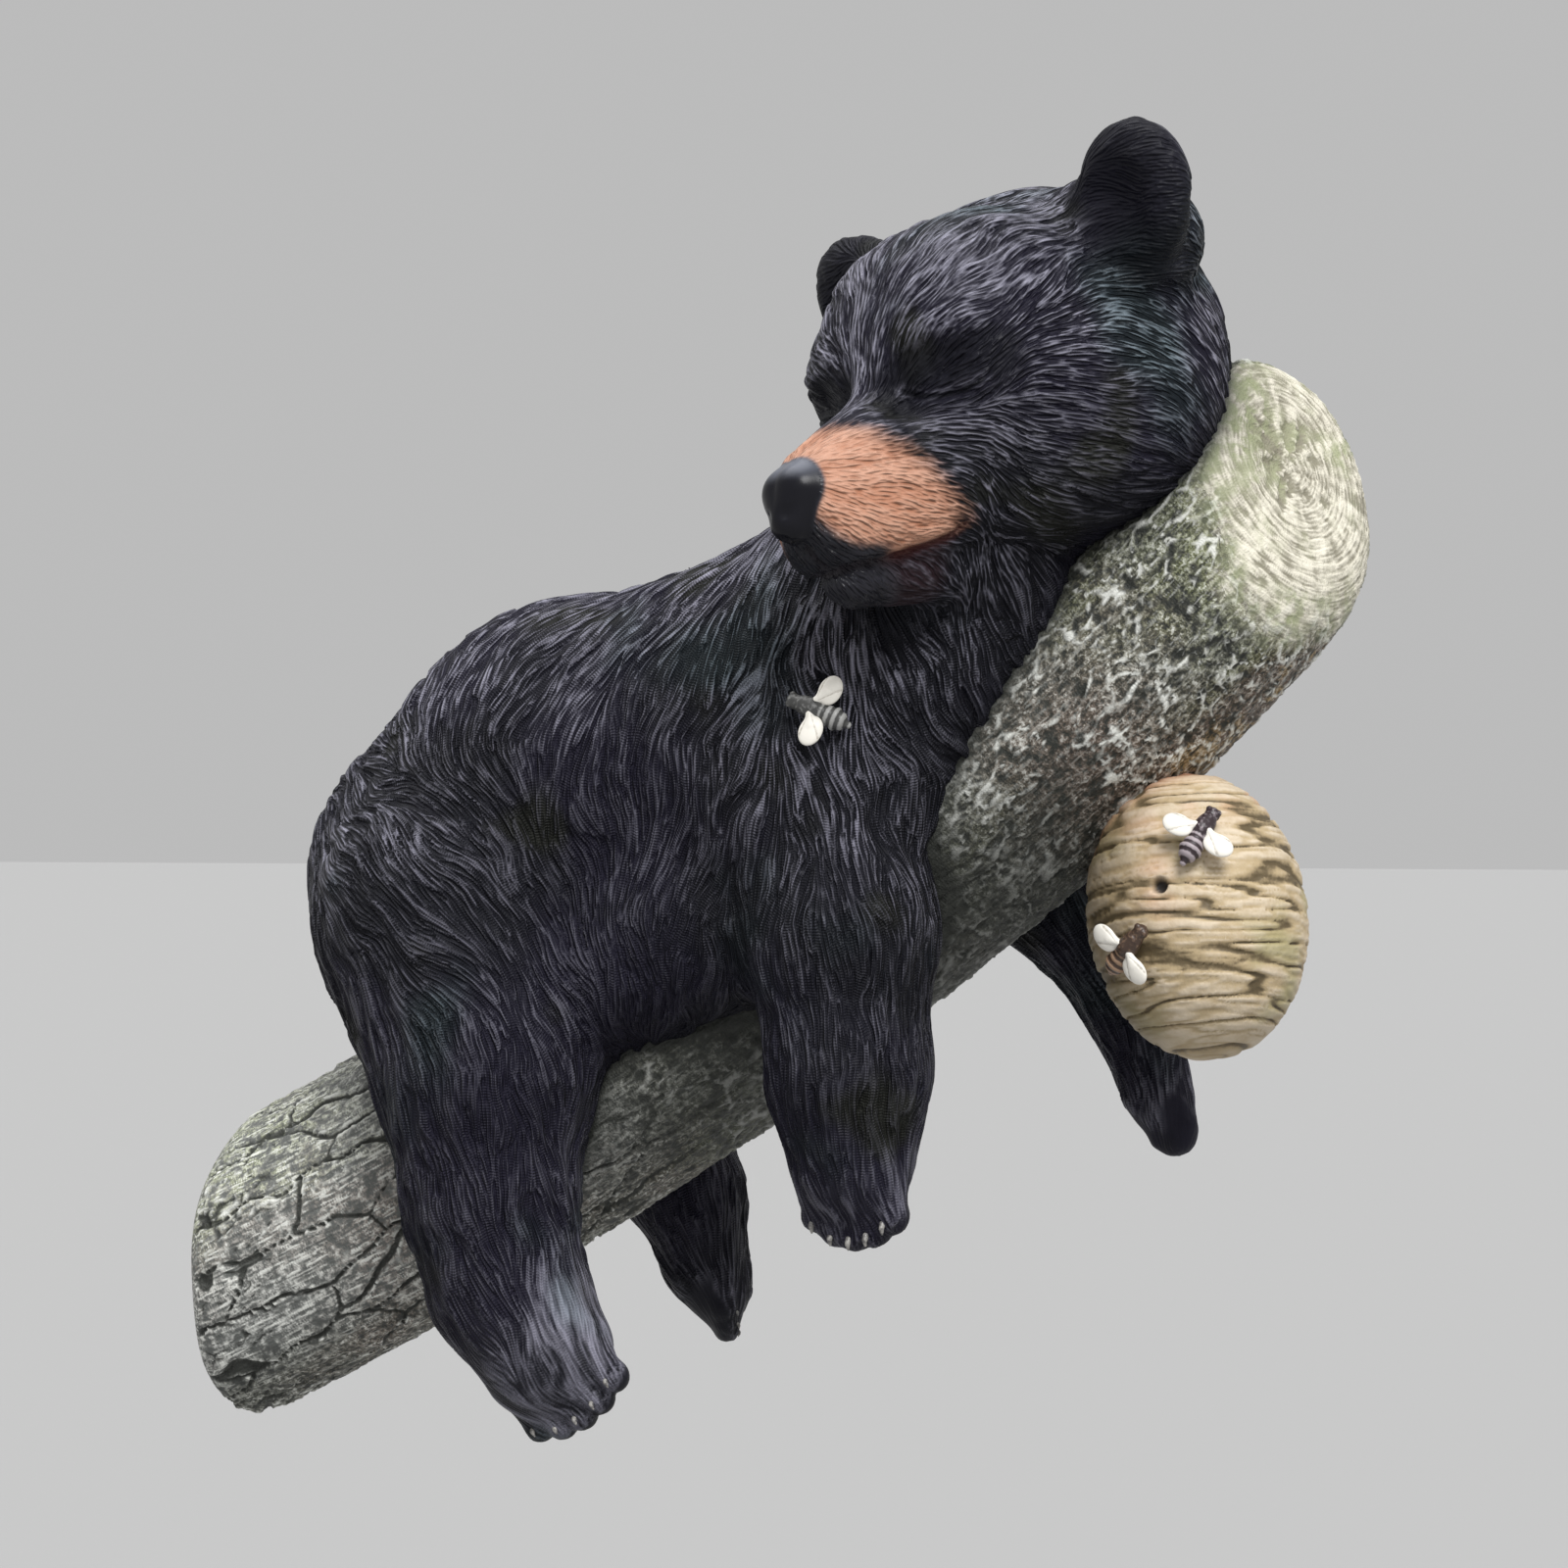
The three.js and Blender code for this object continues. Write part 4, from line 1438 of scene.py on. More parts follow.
@dataclass(frozen=True)
class BarkFinish:
    """Grey-green bark with white dragged over its ridges, moss, a cream sawn face, and painted shade where
    the cub lies on it and under its middle.
    """

    dark: Triple = (0.016, 0.018, 0.014)
    grey: Triple = (0.180, 0.185, 0.150)
    pale: Triple = (0.470, 0.475, 0.450)
    dusk: Triple = (0.110, 0.115, 0.108)
    brown: Triple = (0.190, 0.120, 0.085)
    ochre: Triple = (0.480, 0.320, 0.120)
    moss: Triple = (0.210, 0.230, 0.085)
    moss_light: Triple = (0.345, 0.370, 0.215)
    white: Triple = (0.780, 0.790, 0.740)
    cream: Triple = (0.780, 0.740, 0.620)
    wood: Triple = (0.260, 0.240, 0.180)
    roughness: float = 0.62
    fibre: float = 0.75
    fibre_reach: float = 3.6

    def material(self) -> bpy.types.Material:
        """Build the material; it reads the ridges, the sawn face and the moss from the mesh.

        Returns:
            The material.
        """
        material, ink, shader = new_material("painted_bark")
        place = ink.place()
        grain = ink.noise(place, 700.0, 5.0, 0.7)
        blotch = ink.noise(place, 240.0, 3.0, 0.6)
        fibre = ink.drawn_out(ink.direction("way"), self.fibre, self.fibre_reach, 5)
        lined = ink.ramp(ink.attribute("pale"), 0.0, 1.0, 0.35, 1.0)
        base = self.plates(ink, grain, blotch, ink.times(ink.ramp(fibre, -0.2, -1.3), lined))
        speckle = ink.times(ink.ramp(grain, 0.50, 0.66), ink.ramp(blotch, 0.40, 0.60))
        streak = ink.times(ink.ramp(fibre, 0.2, 1.3), lined, ink.ramp(blotch, 0.36, 0.56))
        speckle = ink.times(ink.math("MAXIMUM", speckle, streak), 0.8)
        mask = ink.math("MAXIMUM", drybrush(ink, ink.attribute("net"), 0.38, 0.7, 40.0, 1100.0), speckle)
        colour = ink.mix(mask, base, self.white)
        colour = ink.mix(ink.ramp(ink.attribute("gap"), 0.25, 0.7, 0.0, 0.92), colour, self.dark)
        colour = ink.mix(ink.attribute("sawn"), colour, self.face(ink, grain, blotch, fibre))
        # Painted shade where the cub lies on the branch and under the branch between its low end and the
        # hive.
        colour = ink.mix(ink.attribute("shade"), colour, self.dark)
        bumps = ink.plus(grain, blotch, ink.times(fibre, 0.12))
        ink.dress(shader, colour, ink.worn(grain, self.roughness, 0.12), ink.bump(bumps, 0.6, 0.8))
        return material

    def plates(self, ink: Ink, grain: Socket, blotch: Socket, furrows: Socket) -> Socket:
        """The colour of the bark under the white dragged over its ridges.

        Args:
            ink: The tree that it goes into.
            grain: A fine noise.
            blotch: A coarser noise.
            furrows: A mask of thin dark lines along the branch.

        Returns:
            The colour.
        """
        light = ink.attribute("pale")
        base = ink.mix(light, self.grey, self.pale)
        base = ink.mix(ink.ramp(ink.noise(ink.place(), 24.0, 4.0), 0.40, 0.75, 0.0, 0.75), base, self.brown)
        moss = ink.mix(light, self.moss, self.moss_light)
        base = ink.mix(ink.times(ink.attribute("moss"), ink.ramp(blotch, 0.3, 0.6)), base, moss)
        base = ink.mix(ink.times(ink.attribute("rust"), ink.ramp(blotch, 0.3, 0.5)), base, self.brown)
        base = ink.mix(ink.ramp(ink.attribute("rust"), 0.95, 1.2, 0.0, 0.8), base, self.ochre)
        hollow = ink.mix(light, self.dark, self.dusk)
        base = ink.mix(ink.ramp(grain, 0.62, 0.36), base, hollow)
        base = ink.mix(ink.ramp(blotch, 0.50, 0.34), base, hollow)
        return ink.mix(furrows, base, hollow)

    def face(self, ink: Ink, grain: Socket, blotch: Socket, fibre: Socket) -> Socket:
        """The colour of the sawn face: cream on the rings, with moss at its edge.

        Args:
            ink: The tree that it goes into.
            grain: A fine noise.
            blotch: A coarser noise.
            fibre: A noise drawn out along the rings.

        Returns:
            The colour.
        """
        raised = ink.plus(ink.shaken(ink.attribute("relief"), blotch, 1.2), ink.times(fibre, 0.22))
        raised = ink.plus(raised, ink.times(grain, 0.5))
        wood = ink.mix(ink.ramp(raised, 0.1, 1.1), self.wood, self.cream)
        return ink.mix(ink.times(ink.attribute("moss"), ink.ramp(blotch, 0.62, 0.40)), wood, self.moss_light)


@dataclass
class Branch:
    """The branch: a bending log with a flat lower end and a slanting sawn upper end."""

    start_slope: float = math.radians(24)
    end_slope: float = math.radians(47)
    length: float = 362
    start_radius: float = 36
    end_radius: float = 33
    lump: float = 0.6
    sawn_point: Triple = (289, 0, 204)
    sawn_normal: Triple = (0.875, -0.34, 0.344)
    sawn_edge: float = 14
    foot_edge: float = 11
    # How much longer than the branch its blank is at each end, before it is cut.
    spare: float = 0.12
    ring: float = 2.6
    skin: float = 1.18
    seed: int = 21

    @property
    def arc_radius(self) -> float:
        """The radius of the branch's middle line."""
        return self.length / (self.end_slope - self.start_slope)

    @property
    def arc_centre(self) -> Vector:
        """The point that the branch bends about."""
        r = self.arc_radius
        return Vector((-r * math.sin(self.start_slope), 0, r * math.cos(self.start_slope)))

    def around(self, p: Points) -> tuple[Points, Points, Points]:
        """Places on the branch: the share along it, and across it to the side and up.

        Args:
            p: Points, one a row, in millimetres.

        Returns:
            The share of its length, and the places across it to the side and up, in millimetres.
        """
        dx = p[:, 0] - self.arc_centre.x
        dz = self.arc_centre.z - p[:, 2]
        up = self.arc_radius - np.hypot(dx, dz)
        along = (np.arctan2(dx, dz) - self.start_slope) * self.arc_radius / self.length
        return along, p[:, 1], up

    @property
    def facing(self) -> Points:
        """The way that the sawn face looks, one long."""
        normal = np.array(self.sawn_normal, float)
        return normal / np.linalg.norm(normal)

    def above(self, p: Points) -> Points:
        """How far points are past the sawn face."""
        return (p - np.array(self.sawn_point, float)) @ self.facing

    def distance(self, p: Points) -> Points:
        """Distance to the branch without its bark.

        Args:
            p: Points, one a row, in millimetres.

        Returns:
            One distance a point, negative inside.
        """
        along, side, up = self.around(p)
        radius = self.start_radius + (self.end_radius - self.start_radius) * along
        angle = np.arctan2(up, side)
        lumps = self.lump * (np.sin(3 * angle + 9 * along) + np.sin(5 * angle - 14 * along + 1))
        d = np.hypot(up, side) - radius - lumps
        d = carve(d, -self.above(p), self.sawn_edge)
        return carve(d, p[:, 0], self.foot_edge)

    def blank(self) -> bmesh.types.BMesh:
        """A round disc swept about the arc's centre, and cut flat at both ends.

        Returns:
            The rough shape, in millimetres.
        """
        bm = bmesh.new()
        bend = self.end_slope - self.start_slope
        sweep = bend * (1 + 2 * self.spare)
        start = self.start_slope - bend * self.spare
        middle = self.arc_centre + Vector((math.sin(start), 0, -math.cos(start))) * self.arc_radius
        facing = Matrix.Rotation(math.pi / 2 - start, 4, "Y")
        bmesh.ops.create_circle(
            bm, cap_ends=True, segments=64, radius=self.start_radius,
            matrix=Matrix.Translation(middle) @ facing,
        )
        bmesh.ops.spin(
            bm, geom=[*bm.verts, *bm.edges, *bm.faces], cent=self.arc_centre, axis=(0, -1, 0),
            angle=sweep, steps=60, use_duplicate=False,
        )
        foot = (Vector((0, 0, 0)), Vector((-1, 0, 0)), self.foot_edge)
        top = (Vector(self.sawn_point), Vector(self.sawn_normal), self.sawn_edge)
        for point, outward, edge in (foot, top):
            geometry = [*bm.verts, *bm.edges, *bm.faces]
            bmesh.ops.bisect_plane(bm, geom=geometry, plane_co=point, plane_no=outward, clear_outer=True)
            rim = [e for e in bm.edges if e.is_boundary]
            bmesh.ops.holes_fill(bm, edges=rim)
            bmesh.ops.bevel(bm, geom=rim, offset=0.75 * edge, segments=6, profile=0.5, affect="EDGES")
        return bm

    def build(self, finish: BarkFinish, neighbour: Field) -> bpy.types.Object:
        """Model the branch, raise its bark and paint it.

        Args:
            finish: The paint.
            neighbour: Distance to the cub, for the shade along it.

        Returns:
            The finished branch.
        """
        clay = Clay.from_bmesh("branch", self.blank())
        clay.voxels(self.skin)
        clay.wrap(self.distance)
        Bark(self, clay, neighbour).raise_up()
        return clay.finish(finish.material(), Slot.BARK, CASTING)


class Bark:
    """The relief of the branch's surface, and the areas that its paint follows."""

    PITH = (0.0, -3.0, 4.0)
    HIVE_SIDE = (243.0, -24.0, 132.0)

    def __init__(self, branch: Branch, clay: Clay, neighbour: Field) -> None:
        """Work out where each point lies on the branch.

        Args:
            branch: The branch.
            clay: Its skin, still smooth.
            neighbour: Distance to the cub.
        """
        self.branch = branch
        self.clay = clay
        self.p, self.normals = clay.points, clay.normals
        self.to_cub = neighbour(self.p)
        self.grit = Grit(branch.seed)
        along, side, self.up = branch.around(self.p)
        self.along = along * branch.length
        self.warp = np.stack([self.grit.smooth(self.p + 50.0 * n, 8.0) for n in range(3)], 1)
        self.flat = np.stack([self.along, side, self.up], 1)
        self.low_end = ease(-self.along, -150, -95)
        self.rough = self.grit.lumps(self.p, 2.6)
        self.above = branch.above(self.p)
        self.facing = self.normals @ branch.facing + 0.30 * self.grit.lumps(self.p + 15.0, 10.0)
        self.sawn = ease(self.facing, 0.35, 0.90) * ease(self.above, -14, -8)
        self.foot = ease(-self.normals[:, 0], 0.35, 0.9) * ease(-self.p[:, 0], -12, -7)
        self._crack()
        self._weave()
        self._saw()

    def _crack(self) -> None:
        """Plates at the low end: their deep and lesser cracks, raised edges and levels."""
        grit, p = self.grit, self.p
        slanted = self.flat + np.outer(0.12 * self.along, (0, 1, 0)) + 2.0 * self.warp
        border, self.level = grit.cells(slanted, 12.0, 3.6)
        small_border, _ = grit.cells(slanted + 33.0, 6.0, 2.0)
        some = ease(grit.smooth(p + 11.0, 15.0), -0.2, 0.4)
        self.crack = 1 - ease(border, 0.3, 1.5)
        self.lesser = (1 - ease(small_border, 0.1, 0.9)) * some
        edge = np.maximum(bell(border - 1.5, 0.6), 0.8 * some * bell(small_border - 1.0, 0.5))
        self.edge = edge * ease(grit.lumps(p + 55.0, 4.0), -0.45, 0.35)

    def _weave(self) -> None:
        """The net of ridges over the rest: large and fine ones, loops, and the trench beside them."""
        grit, p = self.grit, self.p
        net, _ = grit.cells(self.flat + 2.8 * self.warp, 4.6)
        fine_net, _ = grit.cells(self.flat + 1.4 * self.warp + 9.0, 2.7)
        loop, _ = grit.cells(self.flat + 3.0 * self.warp + 60.0, 7.5)
        broken = ease(grit.lumps(p + 90.0, 5.0), -0.5, 0.4)
        rest = 1 - self.low_end
        self.trench = bell(loop - 2.0, 0.6)
        loop = (1 - ease(loop, 0.2, 1.2)) * ease(grit.lumps(p + 130.0, 6.0), -0.55, 0.15) * rest
        self.ridge = np.maximum((1 - ease(net, 0.2, 1.3)) * broken * (1 - 0.4 * broken), loop)
        self.fine_ridge = (1 - ease(fine_net, 0.1, 0.8)) * (1 - 0.7 * broken)

    def _saw(self) -> None:
        """Rings and star-shaped checks about the pith of the sawn face."""
        grit, p, normal = self.grit, self.p, self.branch.facing
        out = p - (np.array(self.branch.sawn_point, float) + np.array(self.PITH))
        self.out = out - (out @ normal)[:, None] * normal
        radius = np.linalg.norm(self.out, axis=1) + 1.8 * grit.smooth(p, 12.0) + 0.6 * grit.smooth(p, 4.0)
        rings = 1 - 1.6 * np.abs(np.sin(radius * math.pi / self.branch.ring))
        self.rings = rings * (0.15 + 0.85 * ease(grit.smooth(p + 31.0, 9.0), -0.15, 0.4))
        turn = np.arctan2(self.out[:, 2], self.out[:, 1])
        self.spokes = np.stack([np.cos(turn) * 4.5, np.sin(turn) * 4.5, radius / 12.0], 1)
        check = grit.smooth(self.spokes + 5.0, 0.8) + 0.25 * grit.smooth(p, 2.0)
        self.checks = ease(check, 0.12, 0.42) * ease(radius, 0.5, 4) * ease(-radius, -19, -9)

    def height(self) -> Points:
        """How far the surface stands out, in millimetres.

        Returns:
            One value a point.
        """
        rest = 1 - self.low_end
        bark = 0.50 * self.ridge + 0.30 * self.fine_ridge + 0.30 * self.rough - 0.3 * rest * self.trench
        plates = 0.35 * self.level + 0.35 * self.edge - 1.1 * self.crack - 0.6 * self.lesser
        bark += self.low_end * plates - 0.45 * rest * self.crack
        face = 0.30 * self.rings + 0.30 * self.rough + 0.35 * self.fine_ridge - 1.1 * self.checks
        return bark * (1 - self.sawn) * (1 - self.foot) + face * self.sawn

    def moss(self) -> Points:
        """Where moss grows: in streaks, on top of the low end, and round the sawn face.

        Returns:
            One value a point.
        """
        grit, p = self.grit, self.p
        streaks = grit.lumps(self.flat / np.array((4.0, 1.0, 1.0)) + 0.2 * self.warp, 9.0)
        moss = 0.12 + 0.6 * grit.lumps(p + 70.0, 30.0) * (1 - self.low_end) + 0.5 * streaks
        moss += 0.75 * ease(-self.along, -75, -10) * ease(self.up, 0, 20)
        moss -= 0.3 * self.low_end * ease(-self.up, -12, 0)
        moss += 0.7 * bell(self.above, 14.0) * ease(-self.facing, -0.95, -0.45)
        return ease(moss + 0.9 * self.sawn * glow(self.to_cub, 9.0), 0.0, 0.75)

    def rust(self) -> Points:
        """Where brown and ochre are rubbed in: beside the hive and under the high end.

        Returns:
            One value a point.
        """
        near_hive = bell(np.linalg.norm(self.p - np.array(self.HIVE_SIDE), axis=1), 24.0)
        under = ease(-self.up, 25, 33) * ease(self.p[:, 0], 244, 268)
        under *= 0.6 + 0.6 * self.grit.lumps(self.p + 44.0, 9.0)
        return np.clip((0.9 * near_hive + 1.6 * under) * (1 - self.sawn), 0, 1.2)

    def grain(self) -> Points:
        """The way the wood's grain runs: along the branch, and round the sawn face.

        Returns:
            One direction a point.
        """
        radial = self.p - np.array(self.branch.arc_centre)
        along = np.stack([-radial[:, 2], np.zeros(len(radial)), radial[:, 0]], 1)
        round_face = np.cross(self.branch.facing, self.out)
        return unit(np.where((self.sawn > 0.5)[:, None], round_face, along))

    def relief(self) -> Points:
        """How raised a point is for the paint: plates on the bark, rings and rays on the face.

        Returns:
            One value a point.
        """
        rays = self.grit.smooth(self.spokes * np.array((2.2, 2.2, 0.6)) + 40.0, 0.9)
        face = 0.40 + 0.45 * self.rings + 0.35 * self.rough + 0.40 * rays - 1.2 * self.checks
        return np.where(self.sawn > 0.5, face, 0.2 + 0.35 * self.rough + 0.15 * self.level)

    def raise_up(self) -> None:
        """Move the skin to its relief and store what the paint needs."""
        low_end, clay = self.low_end, self.clay
        clay.points = self.p + self.normals * self.height()[:, None]
        lesser = 0.7 * self.lesser * (0.4 + 0.6 * low_end)
        gaps = np.maximum(self.crack * (0.45 + 0.55 * low_end), lesser)
        ridges = np.maximum(self.ridge, 0.8 * self.fine_ridge) * (1 - 0.35 * low_end)
        white = np.maximum(ridges, self.edge * low_end) - 0.25 * (1 - low_end) * self.trench
        # Painted shade under the branch between its low end and the hive.
        under_shade = 0.75 * ease(-self.up, 0, 24) * ease(-self.p[:, 0], -255, -228) * (1 - low_end)
        clay.lay("way", self.grain())
        clay.paint("relief", self.relief())
        clay.paint("gap", gaps * (1 - self.sawn) * (1 - 0.6 * self.foot))
        clay.paint("net", white * (1 - gaps) + 0.25 * self.rough + 0.08)
        clay.paint("pale", low_end * ease(self.up, -34, -20))
        clay.paint("sawn", self.sawn)
        clay.paint("moss", self.moss())
        clay.paint("rust", self.rust())
        # Painted shade where the cub meets the branch, and under the branch's middle.
        clay.mask("shade", 0.95 * glow(self.to_cub, 4.0) + under_shade)


# ------------------------------------------------------------------ the hive


@dataclass(frozen=True)
class HiveFinish:
    """Straw and cream paint with brown washed into the coils' grooves, painted shade on its left side and
    underside, and painted shade in the door hole.
    """

    straw: Triple = (0.450, 0.345, 0.200)
    cream: Triple = (0.660, 0.560, 0.425)
    groove: Triple = (0.105, 0.075, 0.035)
    olive: Triple = (0.330, 0.300, 0.140)
    blush: Triple = (0.640, 0.330, 0.210)
    # Near-black: painted shade for the depth of the door hole.
    hole: Triple = (0.015, 0.010, 0.008)
    roughness: float = 0.6

    def material(self) -> bpy.types.Material:
        """Build the material; it reads the coils from the mesh.

        Returns:
            The material.
        """
        material, ink, shader = new_material("painted_straw")
        place = ink.place()
        grain = ink.noise(place, 700.0, 4.0, 0.6)
        height = ink.shaken(ink.attribute("relief"), grain, 0.7)
        body = ink.mix(ink.ramp(height, 0.0, 0.9), self.straw, self.cream)
        body = ink.mix(ink.ramp(ink.noise(place, 38.0, 2.0), 0.50, 0.70, 0.0, 0.7), body, self.olive)
        body = ink.mix(ink.attribute("blush"), body, self.blush)
        colour = ink.mix(ink.ramp(height, 0.10, -0.65), body, self.groove)
        # Painted shade on the hive's left side and underside.
        colour = ink.mix(ink.attribute("shade"), colour, self.groove)
        # The door hole painted near-black, painted shade for its depth.
        colour = ink.mix(ink.attribute("hole"), colour, self.hole)
        ink.dress(shader, colour, ink.worn(grain, self.roughness, 0.1), ink.bump(grain, 0.35, 0.6))
        return material


@dataclass
class Hive:
    """The beehive: an egg of wound straw under the branch, with a small door hole."""

    centre: Triple = (264, -6, 96)
    radii: Triple = (27, 27, 35.5)
    tilt: float = math.radians(9)
    coil_lean: Triple = (-0.10, 0.16, 1.0)
    door: Triple = (262, -40, 104)
    door_radius: float = 1.9
    door_depth: float = 2.4
    coil_height: float = 0.7
    skin: float = 0.62
    seed: int = 33

    # Farther from the door than anything on the hive.
    FAR = 90.0

    def inside(self, p: Points) -> Points:
        """Points in the egg's own axes.

        Args:
            p: Points in the frame's axes, one a row.

        Returns:
            The same points in the egg's axes.
        """
        q = p - np.array(self.centre)
        c, s = math.cos(self.tilt), math.sin(self.tilt)
        return np.stack([c * q[:, 0] + s * q[:, 2], q[:, 1], -s * q[:, 0] + c * q[:, 2]], 1)

    def distance(self, p: Points) -> Points:
        """Distance to the hive without its coils."""
        return egg(self.inside(p), self.radii)

    def build(self, finish: HiveFinish, neighbour: Field) -> bpy.types.Object:
        """Model the hive, wind its coils and paint it.

        Args:
            finish: The paint.
            neighbour: Distance to the branch, for the blush where the hive hangs from it.

        Returns:
            The finished hive.
        """
        bm = bmesh.new()
        bmesh.ops.create_icosphere(bm, subdivisions=5, radius=1.0, matrix=Matrix.Diagonal((*self.radii, 1)))
        place = Matrix.Translation(self.centre) @ Matrix.Rotation(-self.tilt, 4, "Y")
        bmesh.ops.transform(bm, matrix=place, verts=bm.verts)
        clay = Clay.from_bmesh("hive", bm)
        clay.mould(self.distance, self.skin)
        p, normals = clay.points, clay.normals
        relief = self.coils(p)
        to_door = np.linalg.norm((p - np.array(self.door))[:, [0, 2]], axis=1) + self.FAR * (p[:, 1] > -6)
        hole = 1 - ease(to_door, self.door_radius * 0.7, self.door_radius * 1.25)
        raised = self.coil_height * relief * (1 - hole) - self.door_depth * hole
        clay.points = p + normals * raised[:, None]
        blush = ease(self.inside(p)[:, 2], 18, 33) * 0.8 + bell(to_door, 7.0) * 0.6
        blush *= ease(Grit(self.seed).lumps(p, 9.0), -0.35, 0.5)
        # Where the door hole is painted near-black as painted shade.
        clay.paint("relief", relief)
        clay.paint("hole", hole)
        # Painted shade: darker on the side facing -X and on the underside.
        clay.paint("shade", 0.55 * ease(-normals[:, 0], 0.0, 0.8) + 0.25 * ease(-normals[:, 2], 0.2, 0.9))
        clay.mask("blush", blush + 0.9 * glow(neighbour(p), 3.0))
        return clay.finish(finish.material(), Slot.HIVE, CASTING)

    def coils(self, p: Points) -> Points:
        """The relief of the wound straw: broad coils, lesser ones between them, and single straws.

        Args:
            p: Points, one a row, in millimetres.

        Returns:
            One value a point.
        """
        grit = Grit(self.seed)
        lean = np.array(self.coil_lean) / np.linalg.norm(self.coil_lean)
        out = p - np.array(self.centre)
        height = out @ lean
        flat = out - height[:, None] * lean
        wound = flat / 9.0 + lean * (height + 0.8 * grit.smooth(p, 14.0))[:, None]
        main = np.abs(grit.smooth(wound, 2.6))
        lesser = np.abs(grit.smooth(wound + 40.0, 1.25))
        straw = grit.smooth(flat / 5.0 + lean * height[:, None] + 80.0, 0.8)
        coil = 1 - 1.9 * ease(-main, -0.22, -0.02) - 0.8 * ease(-lesser, -0.25, -0.02)
        return 0.55 * coil + 0.25 * straw


# ------------------------------------------------------------------ the bees


@dataclass(frozen=True)
class BeeFinish:
    """A bee's body: dark paint with paler bands picked out."""

    name: str
    dark: Triple
    pale: Triple
    roughness: float = 0.4

    def material(self) -> bpy.types.Material:
        """Build the material; it reads the bands from the mesh.

        Returns:
            The material.
        """
        material, ink, shader = new_material(self.name)
        grain = ink.noise(ink.place(), 1500.0, 3.0, 0.6)
        band = ink.shaken(ink.attribute("band"), grain, 0.8)
        colour = ink.mix(ink.ramp(band, 0.25, 0.75), self.dark, self.pale)
        ink.dress(shader, colour, ink.worn(grain, self.roughness, 0.1), ink.bump(grain, 0.15, 0.6))
        return material


@dataclass(frozen=True)
class WingFinish:
    """A bee's wings: warm white paint, a little worn."""

    white: Triple = (0.820, 0.790, 0.720)
    worn: Triple = (0.420, 0.380, 0.320)
    roughness: float = 0.45

    def material(self) -> bpy.types.Material:
        """Build the material; it reads the veins from the mesh.

        Returns:
            The material.
        """
        material, ink, shader = new_material("painted_wing")
        grain = ink.noise(ink.place(), 1300.0, 3.0, 0.6)
        vein = ink.shaken(ink.attribute("vein"), grain, 0.9)
        colour = ink.mix(ink.ramp(vein, 0.2, 0.8), self.white, self.worn)
        ink.dress(shader, colour, ink.worn(grain, self.roughness, 0.12), ink.bump(grain, 0.12, 0.5))
        return material


